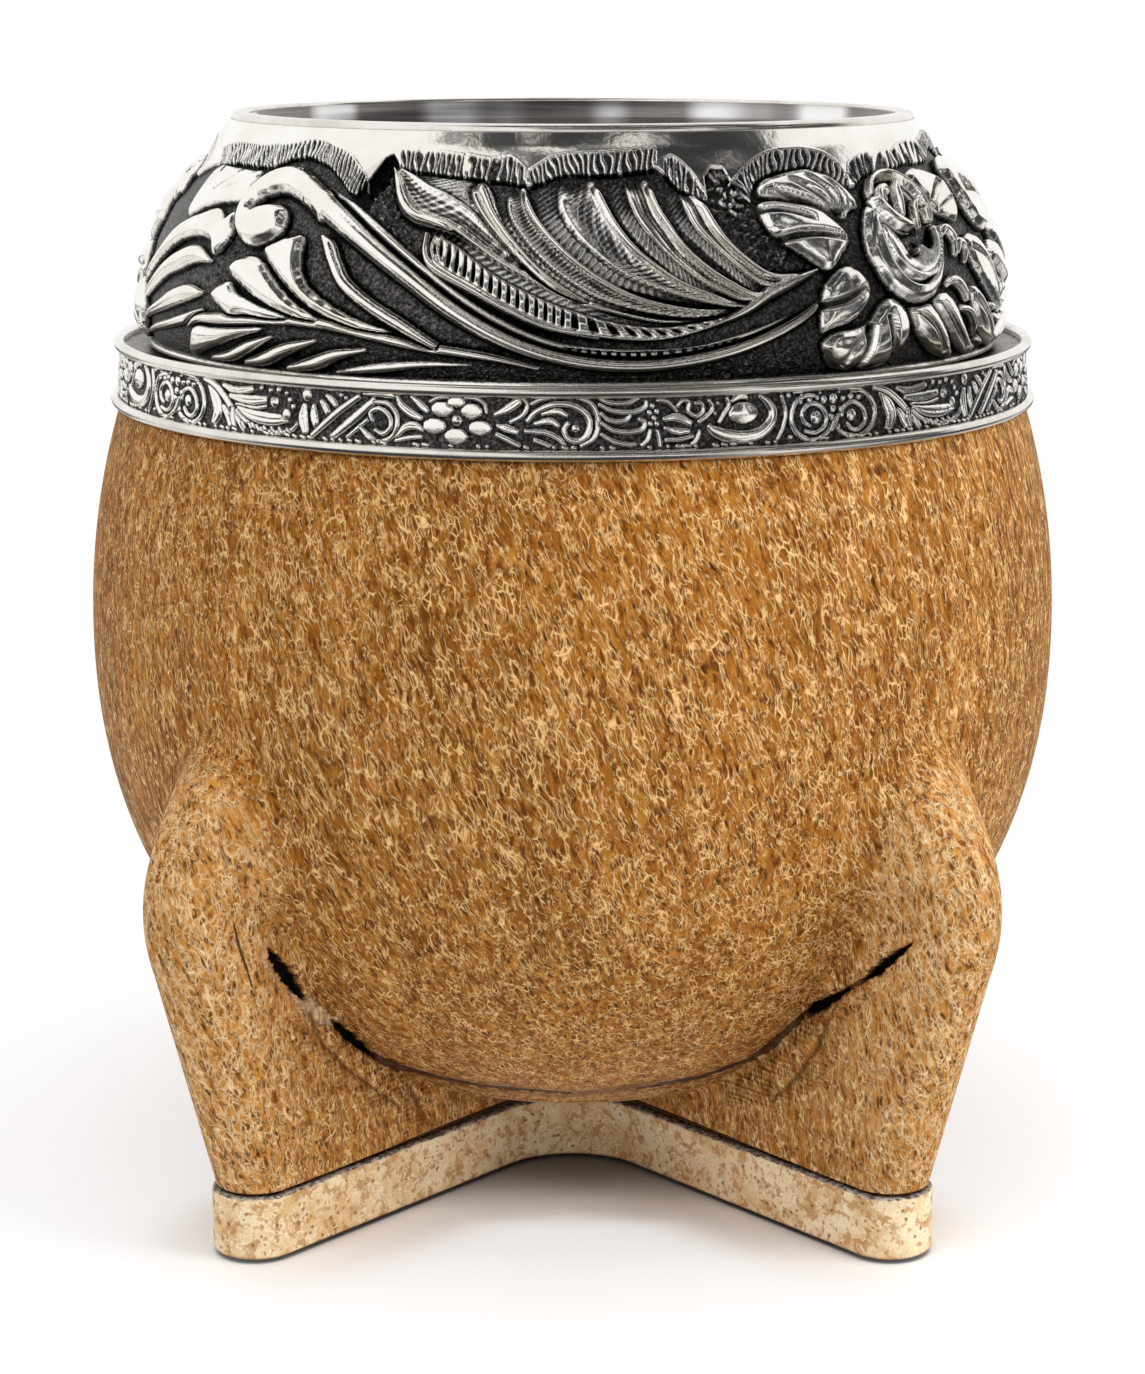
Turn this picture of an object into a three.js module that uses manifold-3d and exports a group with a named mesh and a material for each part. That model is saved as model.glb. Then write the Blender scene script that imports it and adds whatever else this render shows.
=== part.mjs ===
// A hide-covered mate gourd on four legs: a spun steel cup in a calabash, a chased silver collar,
// wet-moulded hide over the gourd and the wooden legs, and a cross-shaped foot.
// Millimetres, Z up, origin on the table under the axis, front towards -Y.

import * as THREE from "three";
import { mergeVertices } from "three/addons/utils/BufferGeometryUtils.js";
import Module from "manifold-3d";

const wasm = await Module();
wasm.setup();

// Body: the hide over the gourd is round, widest at waistHeight and flattened a little underneath.
const bodyRadius = 46;
const waistHeight = 52.7;
const upperSemiAxis = 57.1;
const lowerSemiAxis = 46.9;
const lowerPower = 2.18;
const hideThickness = 1.6;
const gourdWall = 5.5;
const gourdNeckWall = 1.6;

// Legs: their plan angle is measured from the X axis; the outer edge leans out to a knee and
// rounds over a shoulder back into the body.
const legPlanAngle = THREE.MathUtils.degToRad(48);
const legFootReach = 46.2;
const legFootHalfWidth = 3.7;
const legKneeReach = 52.6;
const legKneeHeight = 27.5;
const legKneeHalfWidth = 4.2;
const legShoulderReach = 55;
const legShoulderHeight = 34;
const legCrestReach = 53.9;
const legCrestHeight = 40;
const legTopInset = 2;
const legTopHeight = 50;
const legFillet = 7;
const legCrease = 1;
const creaseTopHeight = 29;
const filletStartHeight = 37;
const finInnerReach = 15;

// Slits where the seam beside each front leg has opened: from and to lie in the side of the leg, as
// shares of the body's radius outwards and of the legs' height upwards.
const slitHalfWidth = 0.45;
const seamSlits = [
  { from: [0.99, 0.6], to: [0.89, 0.49] },
  { from: [0.82, 0.45], to: [0.72, 0.36] },
];

// Foot: a cross-shaped board and sole, with a pale strip wrapped round their edge.
const footReach = 46.7;
const footArmWidth = 8;
const footCornerRadius = 8;
const stripThickness = 1.2;
const stripBottom = 0.4;
const stripTop = 6.2;
const soleThickness = 1.2;
const hideLift = 0.4;
const hideTuck = 2;

// Metalwork: heights are those of the bead centres and of the rim's top.
const lowerBeadHeight = 74.2;
const upperBeadHeight = 79.4;
const beadWireRadius = 0.5;
const bandTaper = 0.4;
const bandWall = 0.55;
const collarLedge = 3.2;
const collarWall = 0.8;
const rimHeight = 100.5;
const mouthRadius = 30.04;
const rimWidth = 1.72;
const rimCrown = 0.6;
const rimDepth = 1.8;

// Collar stages between rim and ledge, as shares of its height and of its flare.
const collarNeckDrop = 0.219;
const collarNeckFlare = 0.48;
const collarShoulderDrop = 0.49;
const collarShoulderFlare = 0.857;
const collarBellyDrop = 0.762;
const collarBellyFlare = 1.09;

// Chased ornament raised on the collar, the same set repeated round it. Places are [degrees round,
// share of the way from rim to ledge]. A ridge runs along its path, is fullest at its swell and may
// lean to one side; a boss is a domed patch with petals. Widths and heights are shares of the fullest.
const ornamentRepeats = 3;
const reliefHeight = 1.4;
const ridgeHalfWidth = 1.2;
const roseRadius = 5.2;
const petalDepth = 0.1;
const bossShoulder = 0.85;
const bossDip = 0.6;
const reliefRoot = 0.3;
const ridgeTip = 0.2;
const ridgeFullness = 0.45;
const stationLength = 4.6;
const ridges = [
  // Stem with its hook.
  { path: [[30, 0.72], [18, 0.87], [5, 0.91], [-7, 0.81], [-20, 0.6], [-32, 0.375], [-40, 0.235], [-46, 0.22],
    [-49.5, 0.33], [-47.5, 0.45], [-43.5, 0.44]],
    width: 1, height: 1, swell: 0.7, lean: 0 },
  // Leaves below the hook.
  { path: [[-42, 0.5], [-37, 0.54], [-31, 0.67], [-21, 0.8]],
    width: 1.17, height: 0.86, swell: 0.3, lean: -0.3 },
  { path: [[-49, 0.59], [-43, 0.62], [-38, 0.68], [-30, 0.77]],
    width: 1, height: 0.79, swell: 0.3, lean: -0.3 },
  { path: [[-33, 0.455], [-30.5, 0.56], [-25, 0.7], [-16.5, 0.84]],
    width: 0.67, height: 0.79, swell: 0.4, lean: 0 },
  { path: [[-57, 0.9], [-51, 0.87], [-44, 0.83], [-36, 0.8]],
    width: 0.83, height: 0.64, swell: 0.3, lean: 0 },
  // Acanthus lobes.
  { path: [[-25, 0.19], [-21, 0.32], [-12, 0.45], [-3, 0.61], [8, 0.7]],
    width: 0.92, height: 0.86, swell: 0.3, lean: -0.4 },
  { path: [[-19, 0.47], [-10, 0.6], [0, 0.745], [10, 0.785], [26, 0.66]],
    width: 1.08, height: 0.79, swell: 0.4, lean: -0.5 },
  { path: [[-8.5, 0.23], [-6, 0.37], [0, 0.53], [10, 0.67]],
    width: 1.17, height: 0.79, swell: 0.35, lean: -0.5 },
  { path: [[0.5, 0.2], [3, 0.4], [9, 0.57], [18, 0.67]],
    width: 1.42, height: 0.79, swell: 0.35, lean: -0.5 },
  { path: [[8.7, 0.2], [11, 0.42], [16, 0.57], [24, 0.65]],
    width: 1.08, height: 0.79, swell: 0.35, lean: -0.5 },
  { path: [[15.6, 0.26], [18, 0.43], [23, 0.58], [31, 0.58]],
    width: 1, height: 0.79, swell: 0.4, lean: -0.5 },
  // Rose leaves.
  { path: [[26, 0.26], [34, 0.24], [41.5, 0.35]],
    width: 1.58, height: 0.64, swell: 0.6, lean: 0 },
  { path: [[25.3, 0.35], [31, 0.41], [38, 0.46]],
    width: 1.75, height: 0.64, swell: 0.6, lean: 0 },
  { path: [[32, 0.89], [38, 0.87], [44.5, 0.8]],
    width: 1.5, height: 0.64, swell: 0.6, lean: 0 },
  { path: [[47, 0.755], [50.5, 0.82], [56, 0.94]],
    width: 1, height: 0.64, swell: 0.4, lean: 0 },
];
const bosses = [
  // Rose: its outer petals, its bowl and its bud.
  { middle: [48, 0.5], width: 1, height: 0.7, petals: 5 },
  { middle: [49, 0.47], width: 0.7, height: 1.15, petals: 5 },
  { middle: [50, 0.4], width: 0.33, height: 1.5, petals: 3 },
];

// Pitch between the collar and the gourd's neck, and how far the neck stops short of the rim's seat.
const beddingLayer = 0.8;
const gourdNeckDrop = 9;

// Cup: a spun steel liner that hangs by the flange under the rim.
const cupWall = 0.8;
const cupFlangeReach = 0.9;
const cupDepth = 74;
const cupBowlHeight = 24;
const cupTaper = 0.6;

// Clearances.
const seatGap = 0.3;
const solderGap = 0.12;

// Facets.
const ringSegments = 50;
const collarSegments = 42;
const cupSegments = 30;
const hiddenSegments = 22;
const petalPoints = 3;
const legSidePoints = 5;
const bodySidePoints = 4;
const stretchSamples = 120;
const turnWeight = 3;
const creaseCrowding = 1.5;
const hideLegLevels = 12;
const hideBodyLevels = 4;
const levelCrowding = 1.35;
const legLevels = 8;
const arcSegments = 4;

// Small helpers.

const clamp = THREE.MathUtils.clamp;
const smoothstep = THREE.MathUtils.smoothstep;

function toSolid(geometry) {
  const bare = geometry.clone();
  bare.deleteAttribute("normal");
  bare.deleteAttribute("uv");
  const merged = mergeVertices(bare, 1e-4);
  const index = Array.from(merged.index.array);
  const triVerts = [];
  for (let i = 0; i < index.length; i += 3) {
    const [a, b, c] = index.slice(i, i + 3);
    if (a !== b && b !== c && c !== a) triVerts.push(a, b, c);
  }
  const vertProperties = new Float32Array(merged.attributes.position.array);
  const mesh = new wasm.Mesh({ numProp: 3, vertProperties, triVerts: new Uint32Array(triVerts) });
  return new wasm.Manifold(mesh);
}

function toGeometry(solid) {
  const mesh = solid.getMesh();
  const geometry = new THREE.BufferGeometry();
  geometry.setAttribute("position", new THREE.BufferAttribute(new Float32Array(mesh.vertProperties), 3));
  geometry.setIndex(new THREE.BufferAttribute(new Uint32Array(mesh.triVerts), 1));
  geometry.computeVertexNormals();
  return geometry;
}

// A closed profile of [radius, height] pairs turned about the Z axis.
function revolve(profile, segments = ringSegments) {
  const points = profile.map(([r, z]) => new THREE.Vector2(r, z));
  if (THREE.ShapeUtils.area(points) < 0) points.reverse();
  points.push(points[0].clone());
  return toSolid(new THREE.LatheGeometry(points, segments).rotateX(Math.PI / 2));
}

function extrudeUp(shape, bottom, top) {
  const settings = { depth: top - bottom, bevelEnabled: false, curveSegments: arcSegments };
  return toSolid(new THREE.ExtrudeGeometry(shape, settings).translate(0, 0, bottom));
}

// Rings of the same number of points, star-shaped about their first ring's centre, closed at both ends.
function loft(rings, centres) {
  const count = rings[0].length;
  const points = [...rings.flat(), centres[0], centres[1]];
  const bottomCentre = points.length - 2;
  const topCentre = points.length - 1;
  const last = (rings.length - 1) * count;
  const index = [];
  for (let j = 0; j < count; j++) {
    const k = (j + 1) % count;
    index.push(bottomCentre, k, j, topCentre, last + j, last + k);
    for (let i = 0; i < rings.length - 1; i++) {
      const low = i * count;
      const high = low + count;
      index.push(low + j, low + k, high + k, low + j, high + k, high + j);
    }
  }
  const geometry = new THREE.BufferGeometry().setFromPoints(points);
  geometry.setIndex(index);
  return toSolid(geometry);
}

function steps(count) {
  return Array.from({ length: count + 1 }, (_, i) => i / count);
}

function solveFalling(fn, low, high) {
  let inside = low;
  let outside = high;
  for (let i = 0; i < 40; i++) {
    const middle = (inside + outside) / 2;
    if (fn(middle) > 0) inside = middle;
    else outside = middle;
  }
  return inside;
}

// The body's radius at a height, for a surface that lies inset inside the hide's.
function bodyRadiusAt(z, inset = 0) {
  const axis = z > waistHeight ? upperSemiAxis : lowerSemiAxis;
  const power = z > waistHeight ? 2 : lowerPower;
  const t = Math.min(Math.abs(z - waistHeight) / (axis - inset), 1);
  return (bodyRadius - inset) * Math.pow(1 - Math.pow(t, power), 1 / power);
}

// Metalwork radii follow from the body where the lower bead rests on the hide.
const lowerBeadRadius = bodyRadiusAt(lowerBeadHeight) + beadWireRadius;
const upperBeadRadius = lowerBeadRadius - bandTaper;
const ledgeHeight = upperBeadHeight - beadWireRadius - solderGap;
const collarBaseHeight = ledgeHeight + solderGap;
const collarBaseRadius = upperBeadRadius - collarLedge;
const rimOuterRadius = mouthRadius + rimWidth;
const collarTopRadius = rimOuterRadius + solderGap;
const collarTopHeight = rimHeight - rimCrown;
const rimSeatHeight = rimHeight - rimDepth;

// The collar's section: it flares from the rim over a neck and a shoulder to a belly.
const collarStage = (flare, drop) =>
  new THREE.Vector2(
    collarTopRadius + flare * (collarBaseRadius - collarTopRadius),
    collarTopHeight - drop * (collarTopHeight - collarBaseHeight),
  );
const collarLine = new THREE.SplineCurve([
  collarStage(0, 0),
  collarStage(collarNeckFlare, collarNeckDrop),
  collarStage(collarShoulderFlare, collarShoulderDrop),
  collarStage(collarBellyFlare, collarBellyDrop),
  new THREE.Vector2(collarBaseRadius, collarBaseHeight),
]);

// A point of the collar's section at share u from rim to ledge, moved out of the metal by a height.
function collarPoint(u, height = 0) {
  const point = collarLine.getPointAt(u);
  const tangent = collarLine.getTangentAt(u);
  return new THREE.Vector2(point.x - tangent.y * height, point.y + tangent.x * height);
}

function collarInnerRadiusAt(z, inset) {
  const share = solveFalling((u) => collarPoint(u, -inset).y - z, 0, 1);
  return collarPoint(share, -inset).x;
}

// Legs.

const legShoulder = new THREE.CubicBezierCurve(
  new THREE.Vector2(legKneeReach, legKneeHeight),
  new THREE.Vector2(legShoulderReach, legShoulderHeight),
  new THREE.Vector2(legCrestReach, legCrestHeight),
  new THREE.Vector2(bodyRadius - legTopInset, legTopHeight),
);

// How far the outer edge of a leg stands from the axis at a height.
function legReachAt(z) {
  if (z < legKneeHeight) {
    const share = (z - stripTop) / (legKneeHeight - stripTop);
    return legFootReach + share * (legKneeReach - legFootReach);
  }
  const share = solveFalling((t) => z - legShoulder.getPoint(t).y, 0, 1);
  return legShoulder.getPoint(share).x;
}

function legHalfWidthAt(z) {
  const share = clamp((z - stripTop) / (legKneeHeight - stripTop), 0, 1);
  return legFootHalfWidth + share * (legKneeHalfWidth - legFootHalfWidth);
}

function smoothUnion(a, b, size) {
  const overlap = Math.max(size - Math.abs(a - b), 0);
  return Math.min(a, b) - (overlap * overlap) / (4 * size);
}

// The hide's outline at a height, as its radius in a direction measured from the nearest leg.
function hideRadiusAt(angle, z) {
  const round = bodyRadiusAt(z);
  const half = legHalfWidthAt(z);
  const reach = z < legTopHeight ? legReachAt(z) : round - legTopInset;
  const fillet = legCrease + (legFillet - legCrease) * smoothstep(z, creaseTopHeight, filletStartHeight);
  const blend = Math.min(fillet, Math.max(legCrease, reach - round));
  const surface = (r) => {
    const along = clamp(r * Math.cos(angle), 0, reach - half);
    const toLeg = Math.hypot(r * Math.cos(angle) - along, r * Math.sin(angle)) - half;
    return -smoothUnion(r - round, toLeg, blend);
  };
  return solveFalling(surface, 0, bodyRadius + legShoulderReach);
}

// Points at the given shares of the outline between two angles. A share counts length and, weighted, turning.
function outlineStretch(from, to, shares, z, weight) {
  const dense = steps(stretchSamples).map((t) => {
    const angle = from + (to - from) * t;
    const r = hideRadiusAt(angle, z);
    return new THREE.Vector2(r * Math.cos(angle), r * Math.sin(angle));
  });
  const travelled = [0];
  for (let i = 1; i < dense.length; i++) {
    const step = dense[i].clone().sub(dense[i - 1]);
    const before = i > 1 ? dense[i - 1].clone().sub(dense[i - 2]) : step;
    const turn = Math.abs(Math.atan2(before.cross(step), before.dot(step)));
    travelled.push(travelled[i - 1] + step.length() + weight * turn);
  }
  const total = travelled[travelled.length - 1];
  return shares.map((t) => {
    const i = clamp(travelled.findIndex((d) => d >= t * total), 1, stretchSamples);
    const share = (t * total - travelled[i - 1]) / (travelled[i] - travelled[i - 1]);
    return dense[i - 1].clone().lerp(dense[i], clamp(share, 0, 1));
  });
}

// Half of the outline between two legs: the leg's side as far as the crease, then the body's round.
function halfOutline(gap, z) {
  const crease = Math.asin(clamp(legHalfWidthAt(z) / bodyRadiusAt(z), 0, Math.sin(gap / 2)));
  const side = outlineStretch(0, crease, steps(legSidePoints), z, turnWeight);
  const round = steps(bodySidePoints).map((t) => Math.pow(t, creaseCrowding));
  return [...side, ...outlineStretch(crease, gap, round, z, 0).slice(1)];
}

// Leg directions anticlockwise from the front left, with the half gaps on either side.
const sideGap = legPlanAngle;
const frontGap = Math.PI / 2 - legPlanAngle;
const legs = [
  { name: "front_left", angle: Math.PI + legPlanAngle, before: sideGap, after: frontGap },
  { name: "front_right", angle: -legPlanAngle, before: frontGap, after: sideGap },
  { name: "rear_right", angle: legPlanAngle, before: sideGap, after: frontGap },
  { name: "rear_left", angle: Math.PI - legPlanAngle, before: frontGap, after: sideGap },
];

function hideRing(z) {
  const outlines = new Map([sideGap, frontGap].map((gap) => [gap, halfOutline(gap, z)]));
  const ring = [];
  for (const leg of legs) {
    const place = (p, side) =>
      new THREE.Vector2(p.x, side * p.y).rotateAround(new THREE.Vector2(), leg.angle);
    const before = outlines.get(leg.before).slice(1).reverse().map((p) => place(p, -1));
    const after = outlines.get(leg.after).slice(0, -1).map((p) => place(p, 1));
    ring.push(...before, ...after);
  }
  return ring.map((p) => new THREE.Vector3(p.x, p.y, z));
}

// The inside of one leg from the foot up into the body, inset from the hide's surface.
function legCore(leg, inset, bottom) {
  const top = legTopHeight - 1;
  const rings = steps(legLevels).map((t) => {
    const z = bottom + (top - bottom) * t;
    const half = legHalfWidthAt(z) - inset;
    const centre = legReachAt(z) - legHalfWidthAt(z);
    const cap = steps(arcSegments).map((s) => {
      const a = Math.PI * (s - 0.5);
      return [centre + half * Math.cos(a), half * Math.sin(a)];
    });
    return [...cap, [finInnerReach, half], [finInnerReach, -half]].map(([x, y]) => {
      const p = new THREE.Vector2(x, y).rotateAround(new THREE.Vector2(), leg.angle);
      return new THREE.Vector3(p.x, p.y, z);
    });
  });
  const middle = (z) => {
    const p = new THREE.Vector2((finInnerReach + legReachAt(z)) / 2, 0);
    p.rotateAround(new THREE.Vector2(), leg.angle);
    return new THREE.Vector3(p.x, p.y, z);
  };
  return loft(rings, [middle(bottom), middle(top)]);
}

// Foot: the cross outline, inset from the strip's outer face.
function crossOutline(inset) {
  const half = footArmWidth / 2;
  const end = footReach - half;
  const outline = new THREE.Shape();
  for (const leg of legs) {
    const centre = new THREE.Vector2(end, 0).rotateAround(new THREE.Vector2(), leg.angle);
    const quarter = Math.PI / 2;
    outline.absarc(centre.x, centre.y, half - inset, leg.angle - quarter, leg.angle + quarter, false);
    const toCorner = (half + footCornerRadius) / Math.sin(leg.after);
    const corner = new THREE.Vector2(toCorner, 0);
    corner.rotateAround(new THREE.Vector2(), leg.angle + leg.after);
    const start = leg.angle - quarter;
    const finish = leg.angle + 2 * leg.after + quarter - 2 * Math.PI;
    outline.absarc(corner.x, corner.y, footCornerRadius + inset, start, finish, true);
  }
  outline.closePath();
  return outline;
}

// Pieces.

function makeMouthRing() {
  const round = rimWidth / 2;
  const centre = mouthRadius + round;
  const crown = steps(4).map((t) => {
    const a = Math.PI * t;
    return [centre + round * Math.cos(a), rimHeight - round + round * Math.sin(a)];
  });
  return revolve([[rimOuterRadius, rimSeatHeight], ...crown, [mouthRadius, rimSeatHeight]]);
}

function makeLinerCup() {
  const top = rimSeatHeight - solderGap;
  const flange = mouthRadius + cupWall + cupFlangeReach;
  const bowlTop = top - cupDepth + cupBowlHeight;
  const bowl = (extra, count) =>
    steps(count).map((t) => {
      const a = (Math.PI / 2) * t;
      const radius = mouthRadius - cupTaper + extra;
      return [radius * Math.cos(a), bowlTop - (cupBowlHeight + extra) * Math.sin(a)];
    });
  const inside = [[mouthRadius, top], ...bowl(0, 5)];
  const outside = [
    ...bowl(cupWall, 5).reverse(),
    [mouthRadius + cupWall, top - cupWall],
    [flange, top - cupWall],
    [flange, top],
  ];
  return revolve([...inside, ...outside], cupSegments);
}

// A place on the collar's face laid flat: millimetres round it and millimetres down from the rim.
const collarLength = collarLine.getLength();
function onFace([degrees, share]) {
  return new THREE.Vector2(THREE.MathUtils.degToRad(degrees) * collarPoint(share).x, share * collarLength);
}

// The same place on the collar itself, raised off the metal and turned round by an angle.
function raised(p, height, turn) {
  const share = clamp(p.y / collarLength, 0, 1);
  const { x: radius, y: z } = collarPoint(share, height);
  const angle = p.x / collarPoint(share).x + turn;
  return new THREE.Vector3(radius * Math.sin(angle), -radius * Math.cos(angle), z);
}

function makeRidge({ path, width, height, swell, lean }, turn) {
  const line = new THREE.SplineCurve(path.map(onFace));
  const stations = steps(Math.max(4, Math.round(line.getLength() / stationLength)));
  const rings = stations.map((share) => {
    const t = (1 - Math.cos(Math.PI * share)) / 2;
    const full = Math.max(Math.sin(Math.PI * Math.pow(t, Math.log(0.5) / Math.log(swell))), 0);
    const fullness = Math.pow(full, ridgeFullness);
    const middle = line.getPointAt(t);
    const tangent = line.getTangentAt(t);
    const across = new THREE.Vector2(-tangent.y, tangent.x);
    across.multiplyScalar(ridgeTip + (width * ridgeHalfWidth - ridgeTip) * fullness);
    const side = (reach) => middle.clone().addScaledVector(across, reach);
    return [
      raised(side(1), -reliefRoot, turn),
      raised(side(-1), -reliefRoot, turn),
      raised(side(-lean), height * reliefHeight * fullness, turn),
    ];
  });
  const centre = (ring) => ring[0].clone().add(ring[1]).add(ring[2]).divideScalar(ring.length);
  return loft(rings, [centre(rings[0]), centre(rings[rings.length - 1])]);
}

function makeBoss({ middle, width, height, petals }, turn) {
  const centre = onFace(middle);
  const top = height * reliefHeight;
  const outline = (reach, lift) =>
    steps(petals * petalPoints).slice(1).map((t) => {
      const a = -2 * Math.PI * t;
      const r = roseRadius * width * reach * (1 - petalDepth * Math.cos(petals * a));
      return raised(new THREE.Vector2(centre.x + r * Math.cos(a), centre.y + r * Math.sin(a)), lift, turn);
    });
  const rings = [outline(1, -reliefRoot), outline(bossShoulder, top)];
  return loft(rings, [raised(centre, -reliefRoot, turn), raised(centre, top * bossDip, turn)]);
}

function makeCollarShell() {
  const outside = steps(6).map((u) => collarPoint(u).toArray());
  const inside = steps(4).map((u) => {
    const point = collarPoint(u, -collarWall);
    return [Math.max(point.x, collarTopRadius), point.y];
  });
  const turns = steps(ornamentRepeats).slice(1).map((t) => 2 * Math.PI * t);
  const ornament = turns.flatMap((turn) => [
    ...ridges.map((ridge) => makeRidge(ridge, turn)),
    ...bosses.map((boss) => makeBoss(boss, turn)),
  ]);
  const ground = revolve([...outside, ...inside.reverse()], collarSegments);
  return ornament.reduce((whole, piece) => whole.add(piece), ground);
}

function makeFriezeBand() {
  const foot = lowerBeadHeight + beadWireRadius + solderGap;
  const ledgeInner = collarBaseRadius - collarWall / 2;
  return revolve([
    [lowerBeadRadius, foot],
    [upperBeadRadius, ledgeHeight],
    [ledgeInner, ledgeHeight],
    [ledgeInner, ledgeHeight - bandWall],
    [upperBeadRadius - bandWall, ledgeHeight - bandWall],
    [lowerBeadRadius - bandWall, foot],
  ]);
}

function makeBead(radius, height) {
  const wire = steps(5).slice(0, -1).map((t) => {
    const a = 2 * Math.PI * t;
    return [radius + beadWireRadius * Math.cos(a), height + beadWireRadius * Math.sin(a)];
  });
  return revolve(wire);
}

const cupOuterRadius = mouthRadius + cupWall;
const gourdInset = hideThickness + seatGap;

// Radius and height pairs round the underside of the body up to a height, from the axis outwards.
function bodyProfile(inset, top, count) {
  const floor = waistHeight - lowerSemiAxis + inset;
  return steps(count).map((t) => {
    const z = top - (top - floor) * Math.cos((Math.PI / 2) * t);
    return [t > 0 ? bodyRadiusAt(z, inset) : 0, z];
  });
}

// The gourd's neck is pared down where the collar closes in on it, so that the pitch always has room.
const neckStart = ledgeHeight - bandWall - seatGap;
function gourdRadiusAt(z) {
  const natural = bodyRadiusAt(z, gourdInset);
  if (z < neckStart) return natural;
  return Math.min(natural, collarInnerRadiusAt(z, collarWall + seatGap + beddingLayer + seatGap));
}

const gourdBore = cupOuterRadius + seatGap;
const gourdTop = solveFalling(
  (z) => gourdRadiusAt(z) - gourdBore - gourdNeckWall,
  neckStart,
  rimSeatHeight - gourdNeckDrop,
);

const beddingBottom = collarBaseHeight + seatGap;
const neckHeights = steps(3).map((t) => beddingBottom + (gourdTop - beddingBottom) * t);

function makeGourdShell() {
  const inset = gourdInset + gourdWall;
  const hollowTop = solveFalling((z) => bodyRadiusAt(z, inset) - gourdBore, waistHeight, gourdTop);
  const neck = [neckStart, ...neckHeights].map((z) => [gourdRadiusAt(z), z]);
  const outside = [...bodyProfile(gourdInset, neckStart - seatGap, 8), ...neck];
  const inside = bodyProfile(inset, hollowTop, 5);
  return revolve([...outside, [gourdBore, gourdTop], ...inside.reverse()], hiddenSegments);
}

function makeCollarBedding() {
  const top = rimSeatHeight - cupWall - solderGap - seatGap;
  const room = (z) => collarInnerRadiusAt(z, collarWall + seatGap);
  const outside = steps(4).map((t) => {
    const z = beddingBottom + (top - beddingBottom) * t;
    return [room(z), z];
  });
  const neck = neckHeights.map((z) => [gourdRadiusAt(z) + seatGap, z]).reverse();
  const step = [[gourdBore, top], [gourdBore, gourdTop + seatGap], [neck[0][0], gourdTop + seatGap]];
  return revolve([...outside, ...step, ...neck.slice(1)], hiddenSegments);
}

// A pointed slit through the hide in the side of a leg that faces the front.
function makeSlit(leg, { from, to }) {
  const side = leg.after === frontGap ? 1 : -1;
  const start = new THREE.Vector2(from[0] * bodyRadius, from[1] * legTopHeight);
  const finish = new THREE.Vector2(to[0] * bodyRadius, to[1] * legTopHeight);
  const middle = start.clone().lerp(finish, 0.5);
  const along = finish.clone().sub(start).normalize();
  const across = new THREE.Vector2(-along.y, along.x).multiplyScalar(slitHalfWidth);
  const outline = [start, middle.clone().add(across), finish, middle.clone().sub(across)];
  if (side < 0) outline.reverse();
  const face = legHalfWidthAt(middle.y);
  const ring = (depth) =>
    [...outline, middle].map((p) => {
      const q = new THREE.Vector2(p.x, side * (face + depth)).rotateAround(new THREE.Vector2(), leg.angle);
      return new THREE.Vector3(q.x, q.y, p.y);
    });
  const inner = ring(-hideThickness - seatGap / 2);
  const outer = ring(hideThickness);
  return loft([inner.slice(0, 4), outer.slice(0, 4)], [inner[4], outer[4]]);
}

const hideBottom = stripTop + hideLift;
const hideTop = lowerBeadHeight - beadWireRadius - solderGap;

// What the hide is moulded over: the gourd, up past the hide's edge, and the four leg fins.
function gourdForm() {
  const top = collarBaseHeight;
  return revolve([...bodyProfile(hideThickness, top, 9), [0, top]], hiddenSegments);
}

function makeHideCover() {
  const legHeights = steps(hideLegLevels).map(
    (t) => hideBottom + (legTopHeight - hideBottom) * Math.pow(t, levelCrowding),
  );
  const bodyHeights = steps(hideBodyLevels).map((t) => legTopHeight + (hideTop - legTopHeight) * t);
  const heights = [...legHeights, ...bodyHeights.slice(1)];
  const ends = [new THREE.Vector3(0, 0, hideBottom), new THREE.Vector3(0, 0, hideTop)];
  const skin = loft(heights.map(hideRing), ends);
  const tuckRadius = lowerBeadRadius - bandTaper - bandWall - seatGap;
  const tuck = revolve([
    [tuckRadius, hideTop - hideTuck],
    [tuckRadius, hideTop + hideTuck],
    [tuckRadius - hideThickness, hideTop + hideTuck],
    [tuckRadius - hideThickness, hideTop - hideTuck],
  ]);
  let hide = skin.add(tuck).subtract(gourdForm());
  for (const leg of legs) hide = hide.subtract(legCore(leg, hideThickness, stripTop));
  for (const leg of legs.slice(0, 2)) {
    for (const slit of seamSlits) hide = hide.subtract(makeSlit(leg, slit));
  }
  return hide;
}

function makeLegFin(leg) {
  return legCore(leg, gourdInset, stripTop).subtract(gourdForm());
}

const boardInset = stripThickness + seatGap / 2;

const makeFootCross = () => extrudeUp(crossOutline(boardInset), soleThickness, stripTop);
const makeFootSole = () => extrudeUp(crossOutline(boardInset), 0, soleThickness);

function makeFootStrip() {
  const outline = crossOutline(0);
  outline.holes.push(crossOutline(stripThickness));
  return extrudeUp(outline, stripBottom, stripTop);
}

// Assembly.

const steel = new THREE.MeshStandardMaterial({ color: 0xb9b4ae, metalness: 0.9, roughness: 0.35 });
const silver = new THREE.MeshStandardMaterial({ color: 0xd3d1cb, metalness: 1, roughness: 0.2 });
const oxidisedSilver = new THREE.MeshStandardMaterial({ color: 0x8e8b84, metalness: 0.9, roughness: 0.35 });
const bedding = new THREE.MeshStandardMaterial({ color: 0x2b2622, metalness: 0, roughness: 0.9 });
const calabash = new THREE.MeshStandardMaterial({ color: 0xa9824f, metalness: 0, roughness: 0.7 });
const hide = new THREE.MeshStandardMaterial({ color: 0xb67d3c, metalness: 0, roughness: 0.6 });
const paleHide = new THREE.MeshStandardMaterial({ color: 0xdcc08e, metalness: 0, roughness: 0.6 });
const darkHide = new THREE.MeshStandardMaterial({ color: 0x3b2a1c, metalness: 0, roughness: 0.8 });
const wood = new THREE.MeshStandardMaterial({ color: 0xb08d5c, metalness: 0, roughness: 0.7 });

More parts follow.
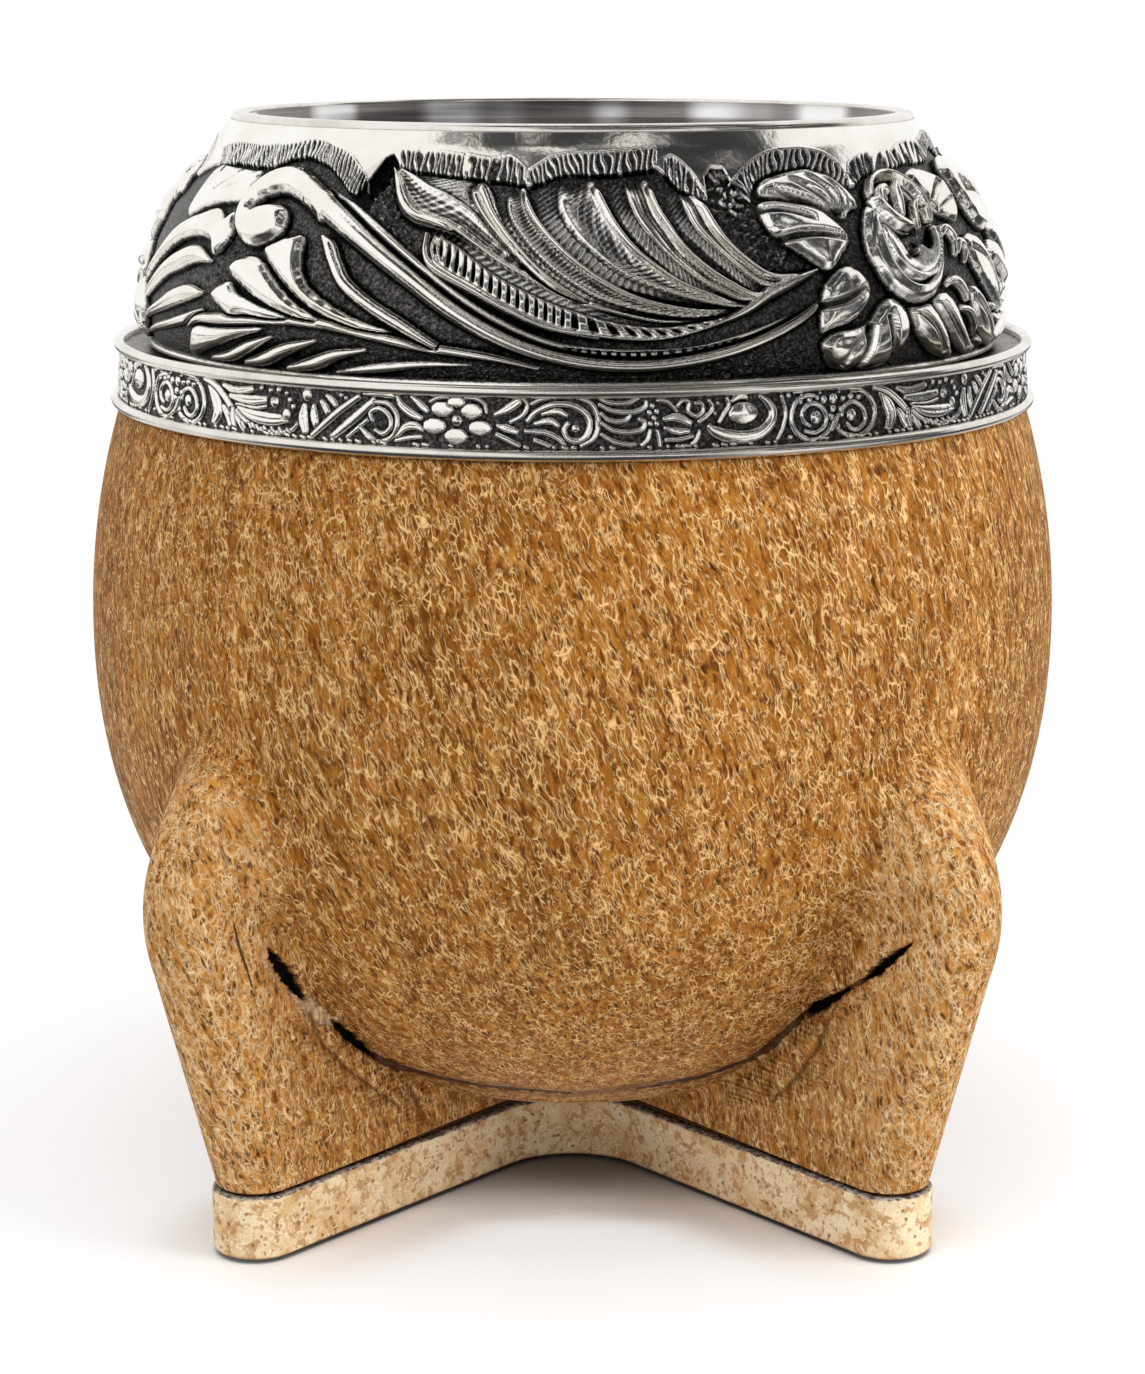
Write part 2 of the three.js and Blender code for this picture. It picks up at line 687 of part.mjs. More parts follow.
const gourd = new THREE.Group();

function addPiece(name, solid, material) {
  const mesh = new THREE.Mesh(toGeometry(solid), material.clone());
  mesh.name = name;
  gourd.add(mesh);
}

addPiece("mouth_ring", makeMouthRing(), silver);
addPiece("liner_cup", makeLinerCup(), steel);
addPiece("collar_shell", makeCollarShell(), silver);
addPiece("upper_bead", makeBead(upperBeadRadius, upperBeadHeight), silver);
addPiece("frieze_band", makeFriezeBand(), oxidisedSilver);
addPiece("lower_bead", makeBead(lowerBeadRadius, lowerBeadHeight), silver);
addPiece("collar_bedding", makeCollarBedding(), bedding);
addPiece("gourd_shell", makeGourdShell(), calabash);
addPiece("hide_cover", makeHideCover(), hide);
for (const leg of legs) addPiece("leg_fin_" + leg.name, makeLegFin(leg), wood);
addPiece("foot_strip", makeFootStrip(), paleHide);
addPiece("foot_cross", makeFootCross(), wood);
addPiece("foot_sole", makeFootSole(), darkHide);

export default gourd;
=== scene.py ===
# A hide-covered mate gourd: its looks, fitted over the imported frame. Functions count in millimetres
# and degrees; lengths of the studio and the camera are in metres.
import math

import bpy
import numpy as np
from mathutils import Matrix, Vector


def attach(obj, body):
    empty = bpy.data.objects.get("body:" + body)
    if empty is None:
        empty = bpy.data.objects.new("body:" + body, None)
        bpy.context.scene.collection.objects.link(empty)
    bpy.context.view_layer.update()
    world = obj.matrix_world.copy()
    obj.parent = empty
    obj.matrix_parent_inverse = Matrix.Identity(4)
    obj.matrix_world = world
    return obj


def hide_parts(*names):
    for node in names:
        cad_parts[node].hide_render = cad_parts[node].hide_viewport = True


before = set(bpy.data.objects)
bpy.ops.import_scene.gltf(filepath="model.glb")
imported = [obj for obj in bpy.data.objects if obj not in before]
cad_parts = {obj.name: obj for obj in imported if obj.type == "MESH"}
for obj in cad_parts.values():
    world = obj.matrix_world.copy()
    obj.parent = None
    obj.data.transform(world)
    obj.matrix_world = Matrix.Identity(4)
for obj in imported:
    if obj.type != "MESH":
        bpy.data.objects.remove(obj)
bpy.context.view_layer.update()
MM = 0.001
FULL_TURN = 2 * math.pi
EMPTY = -9.0


def curve(points, count=48, closed=False):
    """A smooth line of count points through the given ones, whatever columns they have."""
    p = np.array(points, float)
    if closed:
        p = np.vstack([p[-1], p, p[0], p[1]])
    else:
        p = np.vstack([2 * p[0] - p[1], p, 2 * p[-1] - p[-2]])
    spans = len(p) - 3
    u = np.linspace(0, spans, count, endpoint=not closed)
    i = np.minimum(u.astype(int), spans - 1)
    t = (u - i)[:, None]
    a, b, c, d = p[i], p[i + 1], p[i + 2], p[i + 3]
    return 0.5 * (2 * b + (c - a) * t + (2 * a - 5 * b + 4 * c - d) * t**2 + (3 * b - a - 3 * c + d) * t**3)


def pairs(numbers):
    """Flat numbers as rows of (degree, millimetre)."""
    return np.reshape(numbers, (-1, 2))


def smooth(x, low, high):
    t = np.clip((x - low) / (high - low), 0, 1)
    return t * t * (3 - 2 * t)


def rounded(share, power=0.5):
    """A quarter round: 0 at 0, 1 from 1 on."""
    return np.clip(1 - (1 - np.clip(share, 0, 1)) ** 2, 0, 1) ** power


def box_blur(field, half, axis, wrap=False):
    """The mean of each cell and its neighbours up to half cells away along one axis."""
    pads = [(0, 0), (0, 0)]
    pads[axis] = (half + 1, half)
    total = np.cumsum(np.pad(field, pads, mode="wrap" if wrap else "edge"), axis=axis)
    size = 2 * half + 1
    length = field.shape[axis]
    high = np.take(total, np.arange(size, size + length), axis=axis)
    low = np.take(total, np.arange(length), axis=axis)
    return (high - low) / size


def blurred(field, cells, wrap=False):
    """A soft blur over about that many cells each way."""
    half = max(int(round(cells)), 1)
    for _ in range(2):
        field = box_blur(box_blur(field, half, 0), half, 1, wrap)
    return field


def filled(field):
    """Closes pinholes: an empty cell with most of its neighbours laid takes their mean."""
    for _ in range(2):
        solid = field > EMPTY
        total = np.zeros_like(field)
        count = np.zeros_like(field)
        for dy in (-1, 0, 1):
            for dx in (-1, 0, 1):
                moved = np.roll(np.roll(field, dy, 0), dx, 1)
                there = moved > EMPTY
                total += np.where(there, moved, 0)
                count += there
        hole = ~solid & (count >= 5)
        field = np.where(hole, total / np.maximum(count, 1), field)
    return field


def in_outline(points, corners):
    """Which points lie inside a closed outline."""
    inside = np.zeros(len(points), bool)
    for (ax, ay), (bx, by) in zip(corners, np.roll(corners, -1, axis=0)):
        if by != ay:
            crosses = (ay > points[:, 1]) != (by > points[:, 1])
            inside ^= crosses & (points[:, 0] < ax + (points[:, 1] - ay) * (bx - ax) / (by - ay))
    return inside


class Relief:
    """A chased strip of metal, unrolled: degrees round the axis across, millimetres down its face."""

    def __init__(self, length, period, degree_mm, cells_per_mm):
        self.length, self.period = length, period
        self.degree_mm, self.per_mm = degree_mm, cells_per_mm
        self.columns = int(round(360 * degree_mm * cells_per_mm))
        self.per_degree = self.columns / 360
        self.scale = np.array([degree_mm, 1.0])
        self.height = np.zeros((int(round(length * cells_per_mm)) + 1, self.columns))
        self.tone = np.zeros_like(self.height)
        self.turns = range(int(round(360 / period)))
        self.row_mm = np.arange(len(self.height))[:, None] / cells_per_mm

    def strip(self, left, right, profile, **how):
        """A band between two lines: profile(t, v) is its height along t and across v, both 0 to 1."""
        t = np.linspace(0, 1, 24)
        a, b = (np.array(line, float)[:, :2] for line in (left, right))

        def pick(line, u):
            at = u * (len(line) - 1)
            return np.stack([np.interp(at, np.arange(len(line)), line[:, k]) for k in (0, 1)], 1)

        broad = np.hypot(*((pick(a, t) - pick(b, t)) * self.scale).T).max()
        reach = max(np.hypot(*(np.diff(line * self.scale, axis=0)).T).sum() for line in (a, b))
        t = np.linspace(0, 1, int(reach * self.per_mm * 2) + 4)
        v = np.linspace(0, 1, int(broad * self.per_mm * 2) + 4)
        la, lb = pick(a, t), pick(b, t)
        place = la[:, None] * (1 - v[None, :, None]) + lb[:, None] * v[None, :, None]
        self.lay(place, profile(*np.meshgrid(t, v, indexing="ij")), **how)

    def ridge(self, points, profile=None, power=0.6, **how):
        """A raised line through rows of degree, millimetre, half width and height."""
        points = np.reshape(points, (-1, 4))
        dense = curve(points, 14 * len(points))
        tangent = np.gradient(dense[:, :2] * self.scale, axis=0)
        tangent /= np.maximum(np.hypot(tangent[:, 0], tangent[:, 1]), 1e-9)[:, None]
        normal = np.stack([-tangent[:, 1], tangent[:, 0]], 1)
        across = normal * np.maximum(dense[:, 2], 0.02)[:, None] / self.scale

        def shape(t, v):
            h = np.interp(t * (len(dense) - 1), np.arange(len(dense)), dense[:, 3])
            return h * (profile(t, v) if profile else np.clip(1 - (2 * v - 1) ** 2, 0, 1) ** power)

        self.strip(dense[:, :2] - across, dense[:, :2] + across, shape, **how)

    def groove(self, points, depth=0.3, width=0.16, **how):
        """An engraved line, thinning out at its ends."""
        def shape(t, v):
            return np.sin(np.pi * np.clip(0.12 + 0.82 * t, 0, 1)) ** 0.5 * np.cos((v - 0.5) * np.pi) ** 2

        self.ridge([(x, y, width, depth) for x, y in pairs(points)], shape, mode="groove", moat=0, **how)

    def plate(self, outline, profile, soft=0.2, **how):
        """A raised patch: profile(d) gives its height from the distance in from its outline."""
        outline = pairs(outline)
        edge = curve(outline, 8 * len(outline), closed=True) * self.scale
        step = 0.9 / self.per_mm
        low, high = edge.min(0), edge.max(0)
        gx, gy = np.meshgrid(np.arange(low[0], high[0], step), np.arange(low[1], high[1], step))
        q = np.stack([gx.ravel(), gy.ravel()], 1)
        nearest = np.full(len(q), 1e9)
        for (ax, ay), (dx, dy) in zip(edge, np.roll(edge, -1, axis=0) - edge):
            px, py = q[:, 0] - ax, q[:, 1] - ay
            t = np.clip((px * dx + py * dy) / max(dx * dx + dy * dy, 1e-12), 0, 1)
            nearest = np.minimum(nearest, np.hypot(px - t * dx, py - t * dy))
        inside = in_outline(q, edge)
        self.lay(q[inside] / self.scale, profile(nearest[inside]), soft=soft, **how)

    def lay(self, place, height, moat=0.35, mode="over", turns=None, soft=0.0):
        """Lays samples on each repeat. A moat is the dark line cut round them into what lies there."""
        p = place.reshape(-1, 2)
        cx = np.round((p[:, 0] + 180) * self.per_degree).astype(int)
        cy = np.round(p[:, 1] * self.per_mm).astype(int)
        pad = int(moat * 4 * self.per_mm) + 3
        x0, y0 = cx.min() - pad, cy.min() - pad
        size = cy.max() - y0 + pad + 1, cx.max() - x0 + pad + 1
        field = np.full(size, 0.0 if mode == "groove" else EMPTY)
        np.maximum.at(field, (cy - y0, cx - x0), height.ravel())
        if mode != "groove":
            field = filled(field)
        rows = np.arange(y0, y0 + field.shape[0])
        kept = (rows >= 0) & (rows < self.height.shape[0])
        rows, field = rows[kept][:, None], field[kept]
        solid = field > EMPTY
        if soft:
            share = blurred(solid.astype(float), soft * self.per_mm)
            level = blurred(np.where(solid, field, 0), soft * self.per_mm)
            field = np.where(solid, level / np.maximum(share, 1e-6), field)
        clear = 1.0
        if moat > 0:
            near = blurred(solid.astype(float), moat * self.per_mm)
            clear = np.where(solid, 1, 1 - smooth(near, 0.02, 0.4))
        for turn in self.turns if turns is None else turns:
            shift = int(round(turn * self.period * self.per_degree))
            cols = (np.arange(x0, x0 + field.shape[1]) + shift) % self.columns
            here = self.height[rows, cols]
            tone = self.tone[rows, cols]
            if mode == "tint":
                self.tone[rows, cols] = np.where(solid, tone + field, tone)
                continue
            if mode in ("over", "cut"):
                self.tone[rows, cols] = np.where(solid, 0, tone)
            if mode == "groove":
                here = here - field
            elif mode == "cut":
                here = np.where(solid, field, here)
            elif mode == "join":
                here = np.where(solid, np.maximum(here, field), here)
            else:
                here = np.where(solid, field, here * clear)
            self.height[rows, cols] = here


# Heights of the collar's shapes. A patch's go by the distance in from its outline; a lobe's by how
# far along and across it is.
NECK = 0.42


def dome(height, edge, crown=0.0, reach=1.5):
    """A patch with rounded edges that swells on towards its middle."""
    return lambda d: height * rounded(d / edge) + crown * (1 - np.exp(-d / reach))


def sunk(height, depth, edge):
    return lambda d: height - depth * smooth(d, 0, edge)


def span(x, low, high, soft=0.05):
    return smooth(x, low - soft, low + soft) * smooth(high - x, -soft, soft)


def rungs(count, depth, t=(0, 1), v=(0.08, 0.78), sharp=0.45):
    """Bars across a lobe."""
    def shade(s, w):
        bar = smooth(np.cos(FULL_TURN * count * s), -sharp, sharp)
        return depth * (bar - 0.55) * span(w, *v) * span(s, *t)
    return shade


def hatching(count, depth, slant=0.0, t=(0, 1), v=(0.04, 0.8)):
    """Fine bright tool lines: count of them along a lobe, leaning by slant across it."""
    def shade(s, w):
        wander = 0.6 * np.sin(7.3 * s + 3.1 * w) + 0.35 * np.sin(19.7 * s - 5.9 * w + 1)
        fade = 0.75 + 0.25 * np.sin(31 * s + 13 * w)
        line = smooth(np.cos(FULL_TURN * (count * s + slant * w) + wander), 0.0, 0.9)
        return depth * (line * fade - 0.2) * span(w, *v) * span(s, *t)
    return shade


class CollarRelief(Relief):
    """The collar's shapes. Three repeats go round; 0 is the front one and 1 the next to its right."""

    def lobe(self, left, right, floor=0.6, high=1.15, at=0.84, width=0.2, cuts=(), tints=(), tip=0.12,
             moat=0.4, start=0.1):
        """An acanthus lobe: a trough between two edges with a bright ridge along the second, and a
        shallow hatched slope beyond the first."""
        def shape(t, v):
            trough = floor * np.clip(v / 0.14, 0, 1) ** 0.6 * (1 - 0.4 * np.exp(-((v - 0.5) / 0.24) ** 2))
            ridge = high * np.exp(-(((v - at) / width) ** 2))
            h = np.maximum(trough, ridge) * np.clip((1 - v) / 0.1, 0, 1) ** 0.5
            for cut in cuts:
                h = h + cut(t, v)
            return h * (0.3 + 0.7 * smooth(t, 0, start)) * (0.35 + 0.65 * smooth(1 - t, 0, tip))

        def slope(t, v):
            return 0.32 * smooth(v, 0.1, 0.5) * smooth(t, 0.04, 0.2) * smooth(1 - t, 0.1, 0.5)

        def strokes(t, v):
            line = smooth(np.cos(FULL_TURN * (38 * t + 3 * v) + 0.6 * np.sin(9 * t)), 0.1, 0.9)
            return 0.3 * line * smooth(v, 0.15, 0.5) * smooth(1 - t, 0.1, 0.5)

        def tinted(t, v):
            return sum(tint(t, v) for tint in tints) - 0.22 * smooth(at - width - v, 0, 0.1)

        edges = curve(pairs(left), 90), curve(pairs(right), 90)
        self.strip(*edges, shape, moat=moat)
        beside = edges[0] + 0.7 * (edges[0] - edges[1])
        self.strip(beside, edges[0], slope, moat=0, mode="join")
        self.strip(beside, edges[0], strokes, moat=0, mode="tint")
        if tints:
            self.strip(*edges, tinted, moat=0, mode="tint")

    def petal(self, outer, inner, low, high, at, lip, turns=None):
        """A petal between two edges: it swells to its height at that share of the way in, then falls."""
        def shape(t, v):
            rise = rounded(v / max(at, 0.05))
            fall = smooth(v, at, 1.0)
            ends = 0.5 + 0.5 * np.sin(np.pi * np.clip(t, 0.0, 1.0)) ** 0.4
            return (high * rise * (1 - fall) + low * fall) * ends * np.clip((1 - v) / 0.06, 0, 1) ** 0.5

        self.strip(curve(pairs(outer), 120), curve(pairs(inner), 120), shape, moat=lip, turns=turns)

    def fringe(self, top, bottom, strokes, lean=0.0, fill=0.7, depth=0.2, turns=None):
        """A row of round-topped cells cut into the edge of the neck, under a raised line."""
        top, bottom = pairs(top), pairs(bottom)
        strokes = round(1.4 * strokes)

        def cell(t, v):
            """Which cell a point is in, and how far off its middle."""
            place = strokes * (t + lean * v) + 0.3 * np.sin(13 * t + top[0][0]) + 0.2 * np.sin(31 * t + 5 * v)
            return place, np.abs(place - np.floor(place) - 0.5) * 2

        def shape(t, v):
            place, off = cell(t, v)
            room = np.sqrt(np.clip(1 - np.clip((0.28 - v) / 0.28, 0, 1) ** 2, 0, 1))
            return depth * smooth(room - off / fill, 0, 0.45) * smooth(v, 0, 0.1)

        def ribs(t, v):
            place, off = cell(t, v)
            worn = 0.7 + 0.3 * np.sin(11 * np.round(place))
            return 0.66 * smooth(off, fill - 0.08, fill + 0.1) * worn - 0.72 + 0.1 * smooth(1 - v, 0, 0.5)

        edges = curve(top, 120), curve(bottom, 120)
        self.strip(*edges, shape, mode="groove", moat=0, turns=turns)
        self.strip(*edges, ribs, mode="tint", moat=0, turns=turns)
        self.ridge([(x, y - 0.05, 0.11, NECK + 0.1) for x, y in top], mode="join", moat=0, turns=turns)

    def flecks(self, corners, count, seed, length=0.7, height=0.3, lean=None):
        """Short light tool marks scattered over a patch of the dark ground."""
        chance = np.random.default_rng(seed)
        corners = pairs(corners).astype(float)
        low, high = corners.min(0), corners.max(0)
        laid = 0
        while laid < count:
            p = low + (high - low) * chance.random(2)
            if not in_outline(p[None], corners)[0]:
                continue
            laid += 1
            angle = chance.uniform(0, FULL_TURN) if lean is None else lean(p) + chance.normal(0, 0.25)
            half = length * chance.uniform(0.4, 1) / 2
            bend = chance.uniform(-0.3, 0.3) * length
            along = np.array([math.cos(angle), math.sin(angle)]) / self.scale
            across = np.array([-math.sin(angle), math.cos(angle)]) / self.scale
            points = p - half * along, p + bend * across, p + half * along
            marks = [(x, y, 0.1, height * chance.uniform(0.5, 1)) for x, y in points]
            self.ridge(marks, mode="join", moat=0)

    def neck(self):
        """The smooth neck, down to the edge where the chasing is sunk beside it."""
        edge = pairs([
            -60, 4.1, -55, 4.2, -50.5, 4.1, -49, 3.9, -46.5, 3.3, -43, 3, -40, 3.3, -38, 3.7, -35, 4.8,
            -32.5, 6.1, -31.2, 6.6, -30.2, 5.6, -29.2, 4, -28.2, 2.9, -27, 2.5, -26.2, 3, -25.4, 3.75,
            -20, 4.05, -15.3, 4.35, -12, 4.55, -9, 4.75, -6, 5.1, -1, 4, 5, 4.05, 12, 3.5, 13.4, 4.2,
            14.6, 5.4, 16.6, 6.3, 18.3, 7, 18.8, 4.4, 20, 3.6, 22, 3.7, 23.6, 6.6, 24.4, 7.4, 25, 6.3,
            26.3, 5.1, 28.3, 4.4, 30.5, 4, 33, 3.9, 36, 3.7, 39, 4.3, 41, 5.3, 42, 6.1, 43.8, 6,
            45, 5.4, 46.7, 5, 49, 4.6, 53, 4.4, 60, 4.1])
        degree = np.arange(self.columns) / self.per_degree
        limit = np.interp((degree % self.period) - self.period / 2, edge[:, 0], edge[:, 1])
        self.height += NECK * smooth(limit - self.row_mm, -0.05, 0.3)
        self.tone += 0.55 * smooth(limit - self.row_mm, 0.0, 0.3)

    def hem(self):
        """The hem that stands on the band's ledge."""
        hem = 0.45 * np.clip(1 - ((self.row_mm - 23.65) / 0.36) ** 2, 0, 1) ** 0.5
        self.height = np.maximum(self.height * smooth(23.4 - self.row_mm, -0.15, 0.25), hem)


def shade(depth, edge):
    """A patch of painted shade that darkens inward."""
    return lambda d: -depth * smooth(d, 0, edge)


def rope(t, v):
    """Turns of a cord along a strip."""
    return 0.5 * smooth(np.cos(FULL_TURN * 17 * t), -0.5, 0.3) * np.sin(np.pi * v)


def chase_collar(relief):
    """Everything on the collar between its neck and its hem."""
    plate, ridge, groove, strip = relief.plate, relief.ridge, relief.groove, relief.strip
    lobe, petal, fringe, flecks = relief.lobe, relief.petal, relief.fringe, relief.flecks
    front, rosy = (0,), (0, 1)

    # Shadow beside the neck, above the tip of the big leaf.
    plate([-32, 4.4, -30, 2.9, -27.8, 2, -26.2, 2.3, -26.2, 4.2, -27.6, 6.6, -28.8, 9, -30.2, 8.2,
        -30.9, 6.2], shade(0.62, 0.5), mode="tint", moat=0)

    # Fringes: cells cut along the neck's edge.
    fringe([-70, 2.9, -66, 2.3, -60, 2.05, -55, 2.15, -50.8, 1.95], [-68, 4.3, -65, 4.3, -60, 4.2,
        -55, 4.3, -50, 4.2], 16, lean=-0.06, turns=front)
    fringe([-50.4, 2, -47, 1.75, -43, 1.3, -40, 1.45, -38.5, 1.75, -35, 2.4, -32.5, 3.5, -30, 4.9,
        -28.8, 6.4], [-49.5, 4.1, -46.5, 3.35, -43, 3.05, -40, 3.35, -38, 3.7, -35, 4.8, -32.5, 6.1,
        -30.4, 7.3, -29.4, 8.2], 23)
    fringe([-26, 2, -20, 2.1, -15.8, 2.4], [-25.2, 3.8, -20, 4.1, -15.6, 4.4], 9)
    fringe([-15.3, 2.3, -12, 2.65, -9, 2.4, -7, 3.2], [-15, 4.4, -12, 4.6, -9, 4.8, -6.4, 5.1], 6)
    fringe([-6, 3.6, -2, 2.3, 5, 2, 12.2, 1.6], [-5.6, 5.2, -1, 4, 5, 4.1, 11.8, 3.6], 14)
    fringe([13.4, 2.7, 14.7, 2.5, 17, 3.9, 18, 5.6], [13, 4, 14.2, 5.3, 16.2, 6.3, 18.2, 7.1], 7)
    fringe([22.2, 5.2, 25, 3.7, 27.5, 2.8, 30, 2.2, 33, 2, 36, 2, 40, 2.5, 42.4, 3.6, 43, 5], [24.5, 7.3,
        25.2, 6.2, 26.5, 5.1, 28.5, 4.4, 30.7, 4, 33, 3.9, 36, 3.8, 39, 4.3, 40.8, 5.2, 42, 6.2], 15)
    fringe([43.4, 4.6, 44.6, 3.6, 46.5, 3.1, 49, 2.8, 53, 2.8, 56, 2.6], [43.8, 6.2, 45, 5.4, 46.7, 5,
        49, 4.6, 53, 4.5, 57, 4.3], 6, lean=0.08, fill=0.72, turns=rosy)
    fringe([57, 2.8, 60, 2.2, 65, 2, 69, 2.4], [57.5, 4.2, 61, 4.1, 65, 4.1, 70, 4.3], 3, lean=0.1,
        fill=0.76, turns=rosy)

    # Light marks on the dark ground.
    flecks([-31, 2, -27, 1.9, -25.6, 4.5, -22.5, 9, -19.5, 12.2, -22, 11.9, -26.5, 9, -29.5, 6], 60, 3)
    flecks([-51, 11.2, -44, 12.6, -52.4, 17.4, -55.5, 14.8], 26, 5, 0.5, 0.2)
    flecks([10, 22.4, 20, 21.2, 26, 19.6, 30.6, 19.2, 31, 22.8, 20, 23.1, 10, 23.1], 60, 7, 0.6, 0.24)
    flecks([-26, 17, -16, 20.6, -8, 20.6, -18, 17.6], 14, 8, 0.5, 0.2)
    flecks([18.6, 4.2, 22, 3.8, 24.5, 8, 19.4, 8.2], 34, 9, 0.8, 0.42)
    flecks([19, 7.8, 24.5, 7.8, 26, 11, 31, 13.6, 27, 14, 22, 12.3], 60, 11, 0.9, 0.3,
        lambda p: math.atan2(8.5 - p[1], (33 - p[0]) * 0.7))
    flecks([-39.5, 8, -36, 8.9, -34.5, 10.2, -37, 10.8, -39.8, 10.6], 8, 13, 0.4, 0.16)

    # Broad smooth leaf to the left of the hook, with two notches, and the lobes that run down from it.
    plate([-66, 4.6, -60, 4.5, -54, 4.6, -51.6, 4.8, -51.4, 7.6, -55, 8.2, -60, 8.9, -65.4, 10.1,
        -66.3, 7], dome(0.62, 0.45, 0.3), moat=0.25, turns=front)
    groove([-63.6, 4.4, -63.4, 5.4, -64.9, 6.8], 0.5, 0.3, turns=front)
    groove([-57.4, 4.5, -57.8, 5.4, -60.6, 7.2], 0.45, 0.3, turns=front)
    groove([-55, 6.2, -57.5, 6.9], 0.15, 0.12, turns=front)
    plate([-51.7, 9.2, -50.3, 11.2, -52.8, 13.4, -55, 12.1, -60, 12, -65, 13, -70, 15, -75, 17,
        -76.5, 16.9, -71, 13.9, -66, 11.1, -60, 9.6, -56, 9, -53.5, 9.9], dome(0.75, 0.5, 0.4), moat=0.3,
        turns=front)
    ridge([-53.4, 14, 0.1, 0.5, -57.5, 13.6, 0.9, 1, -61, 14.2, 1.05, 1.05, -65.5, 15.3, 0.85, 0.95,
        -71, 17.3, 0.5, 0.8, -78, 19.6, 0.12, 0.45], moat=0.3, turns=front)
    ridge([-53.8, 17, 0.2, 0.6, -57.5, 17.2, 0.85, 0.9, -61.5, 17.9, 0.9, 0.95, -66, 18.9, 0.65, 0.8,
        -72, 20, 0.4, 0.65, -79, 21.4, 0.12, 0.4], moat=0.3, turns=front)
    ridge([-53.2, 18.6, 0.2, 0.5, -57, 19.5, 0.55, 0.7, -63, 20.5, 0.5, 0.7, -70, 21.4, 0.35, 0.55,
        -78, 22.5, 0.1, 0.3], moat=0.25, turns=front)

    # Smooth leaflets under the long ridge, rising to the right.
    plate([-56.6, 22.9, -55.4, 20.6, -54, 20, -50, 20, -46, 19.5, -41, 19.6, -46.5, 20.9, -51, 21.9],
        dome(0.8, 0.5, 0.3), moat=0.25)
    ridge([-52, 23, 0.2, 0.4, -47.5, 22.5, 0.55, 0.85, -43.5, 21.4, 0.55, 0.85, -39.5, 20.3, 0.12, 0.5],
        moat=0.22)
    ridge([-45, 23, 0.25, 0.4, -41, 22.4, 0.65, 0.9, -37, 21.3, 0.58, 0.9, -32.5, 20.3, 0.12, 0.5],
        moat=0.22)
    ridge([-37.5, 23.1, 0.25, 0.4, -33, 22.4, 0.65, 0.9, -29.5, 21.5, 0.5, 0.8, -25.5, 20.9, 0.12, 0.5],
        moat=0.22)
    ridge([-30, 23.1, 0.15, 0.3, -24, 22.5, 0.42, 0.6, -18, 22, 0.3, 0.5, -12, 21.9, 0.08, 0.3], moat=0.18)
    ridge([-57, 20.3, 0.1, 0.4, -54, 19.4, 0.4, 0.75, -50, 19.15, 0.55, 0.9, -46, 18.95, 0.55, 0.95,
        -40, 18.6, 0.55, 0.95, -34, 18.6, 0.5, 0.9, -28, 19, 0.5, 0.85, -20, 20.1, 0.45, 0.85,
        -10, 21.1, 0.35, 0.8, -4, 22.1, 0.1, 0.5], moat=0.25)

    # Smooth lobes below the hook.
    plate([-51.3, 17.1, -49.8, 16.1, -47.6, 15.7, -46.4, 16.5, -44, 17.1, -40, 17.8, -36.2, 18.3,
        -40, 18.5, -44, 18.4, -46.6, 18.6, -49, 18], dome(0.85, 0.6, 0.4), moat=0.3)
    plate([-48.3, 14.3, -46.6, 13.4, -44, 13.2, -42, 13.7, -40, 14.8, -37.5, 16.2, -35, 17.3, -32, 18.4,
        -35.5, 18.2, -39.5, 17.5, -43, 16.6, -46, 15.6, -47.8, 15], dome(0.95, 0.75, 0.5), moat=0.32)
    plate([-42.5, 12.6, -40.5, 11.6, -38, 11, -36.4, 11.1, -36.1, 12.6, -35.4, 14.2, -33.6, 15.7,
        -30.3, 17, -26.3, 18.2, -22, 19.1, -25, 19, -29, 18.4, -33, 17.4, -36.5, 16, -40, 14.2],
        dome(1.05, 0.85, 0.5), moat=0.35)
    ridge([-33.4, 10.9, 0.25, 0.7, -32, 11.8, 0.62, 1.05, -30.6, 13.3, 0.66, 1.1, -28.6, 15.1, 0.64, 1.1,
        -25, 16.8, 0.62, 1.05, -20.5, 18.5, 0.6, 1, -16.3, 20.2, 0.35, 0.8], moat=0.35)

    # Long stem: a shaded rail above, then the polished stem that ends in the hook.
    ridge([-36, 5.7, 0.12, 0.3, -30, 8, 0.42, 0.55, -25, 10.3, 0.5, 0.65, -20, 12.8, 0.5, 0.7,
        -15, 15.35, 0.5, 0.75, -10, 17.5, 0.45, 0.75, -5, 19.2, 0.38, 0.7, 0, 20.2, 0.3, 0.6,
        8, 20.6, 0.22, 0.5, 15, 20.35, 0.2, 0.5, 23, 18.85, 0.2, 0.5, 29, 17.2, 0.12, 0.4], moat=0.18)
    edges = ([-1, 20.1, 4, 20.5, 9, 20.6, 15, 20.3, 20, 19.5],
             [-1, 20.75, 4, 21.1, 9, 21.15, 15, 20.8, 20, 19.9])
    strip(*(curve(pairs(line), 60) for line in edges), rope, moat=0)
    stem = np.reshape([
        -40, 5.9, 1.05, 1.35, -37, 6.95, 1.2, 1.42, -34, 8.2, 1.15, 1.42, -30, 9.85, 1.02, 1.38,
        -25, 12.1, 0.88, 1.32, -20, 14.4, 0.8, 1.27, -15, 16.8, 0.76, 1.22, -10, 18.85, 0.7, 1.18,
        -5, 20.4, 0.62, 1.12, 0, 21.4, 0.56, 1.06, 5, 21.85, 0.53, 1.02, 10, 21.85, 0.5, 1,
        15, 21.4, 0.5, 1, 20, 20.55, 0.48, 0.95, 25, 19.25, 0.44, 0.9, 29, 17.85, 0.36, 0.8,
        31.3, 16.7, 0.12, 0.5], (-1, 4))
    ridge(stem[2:], moat=0.38, power=0.7)
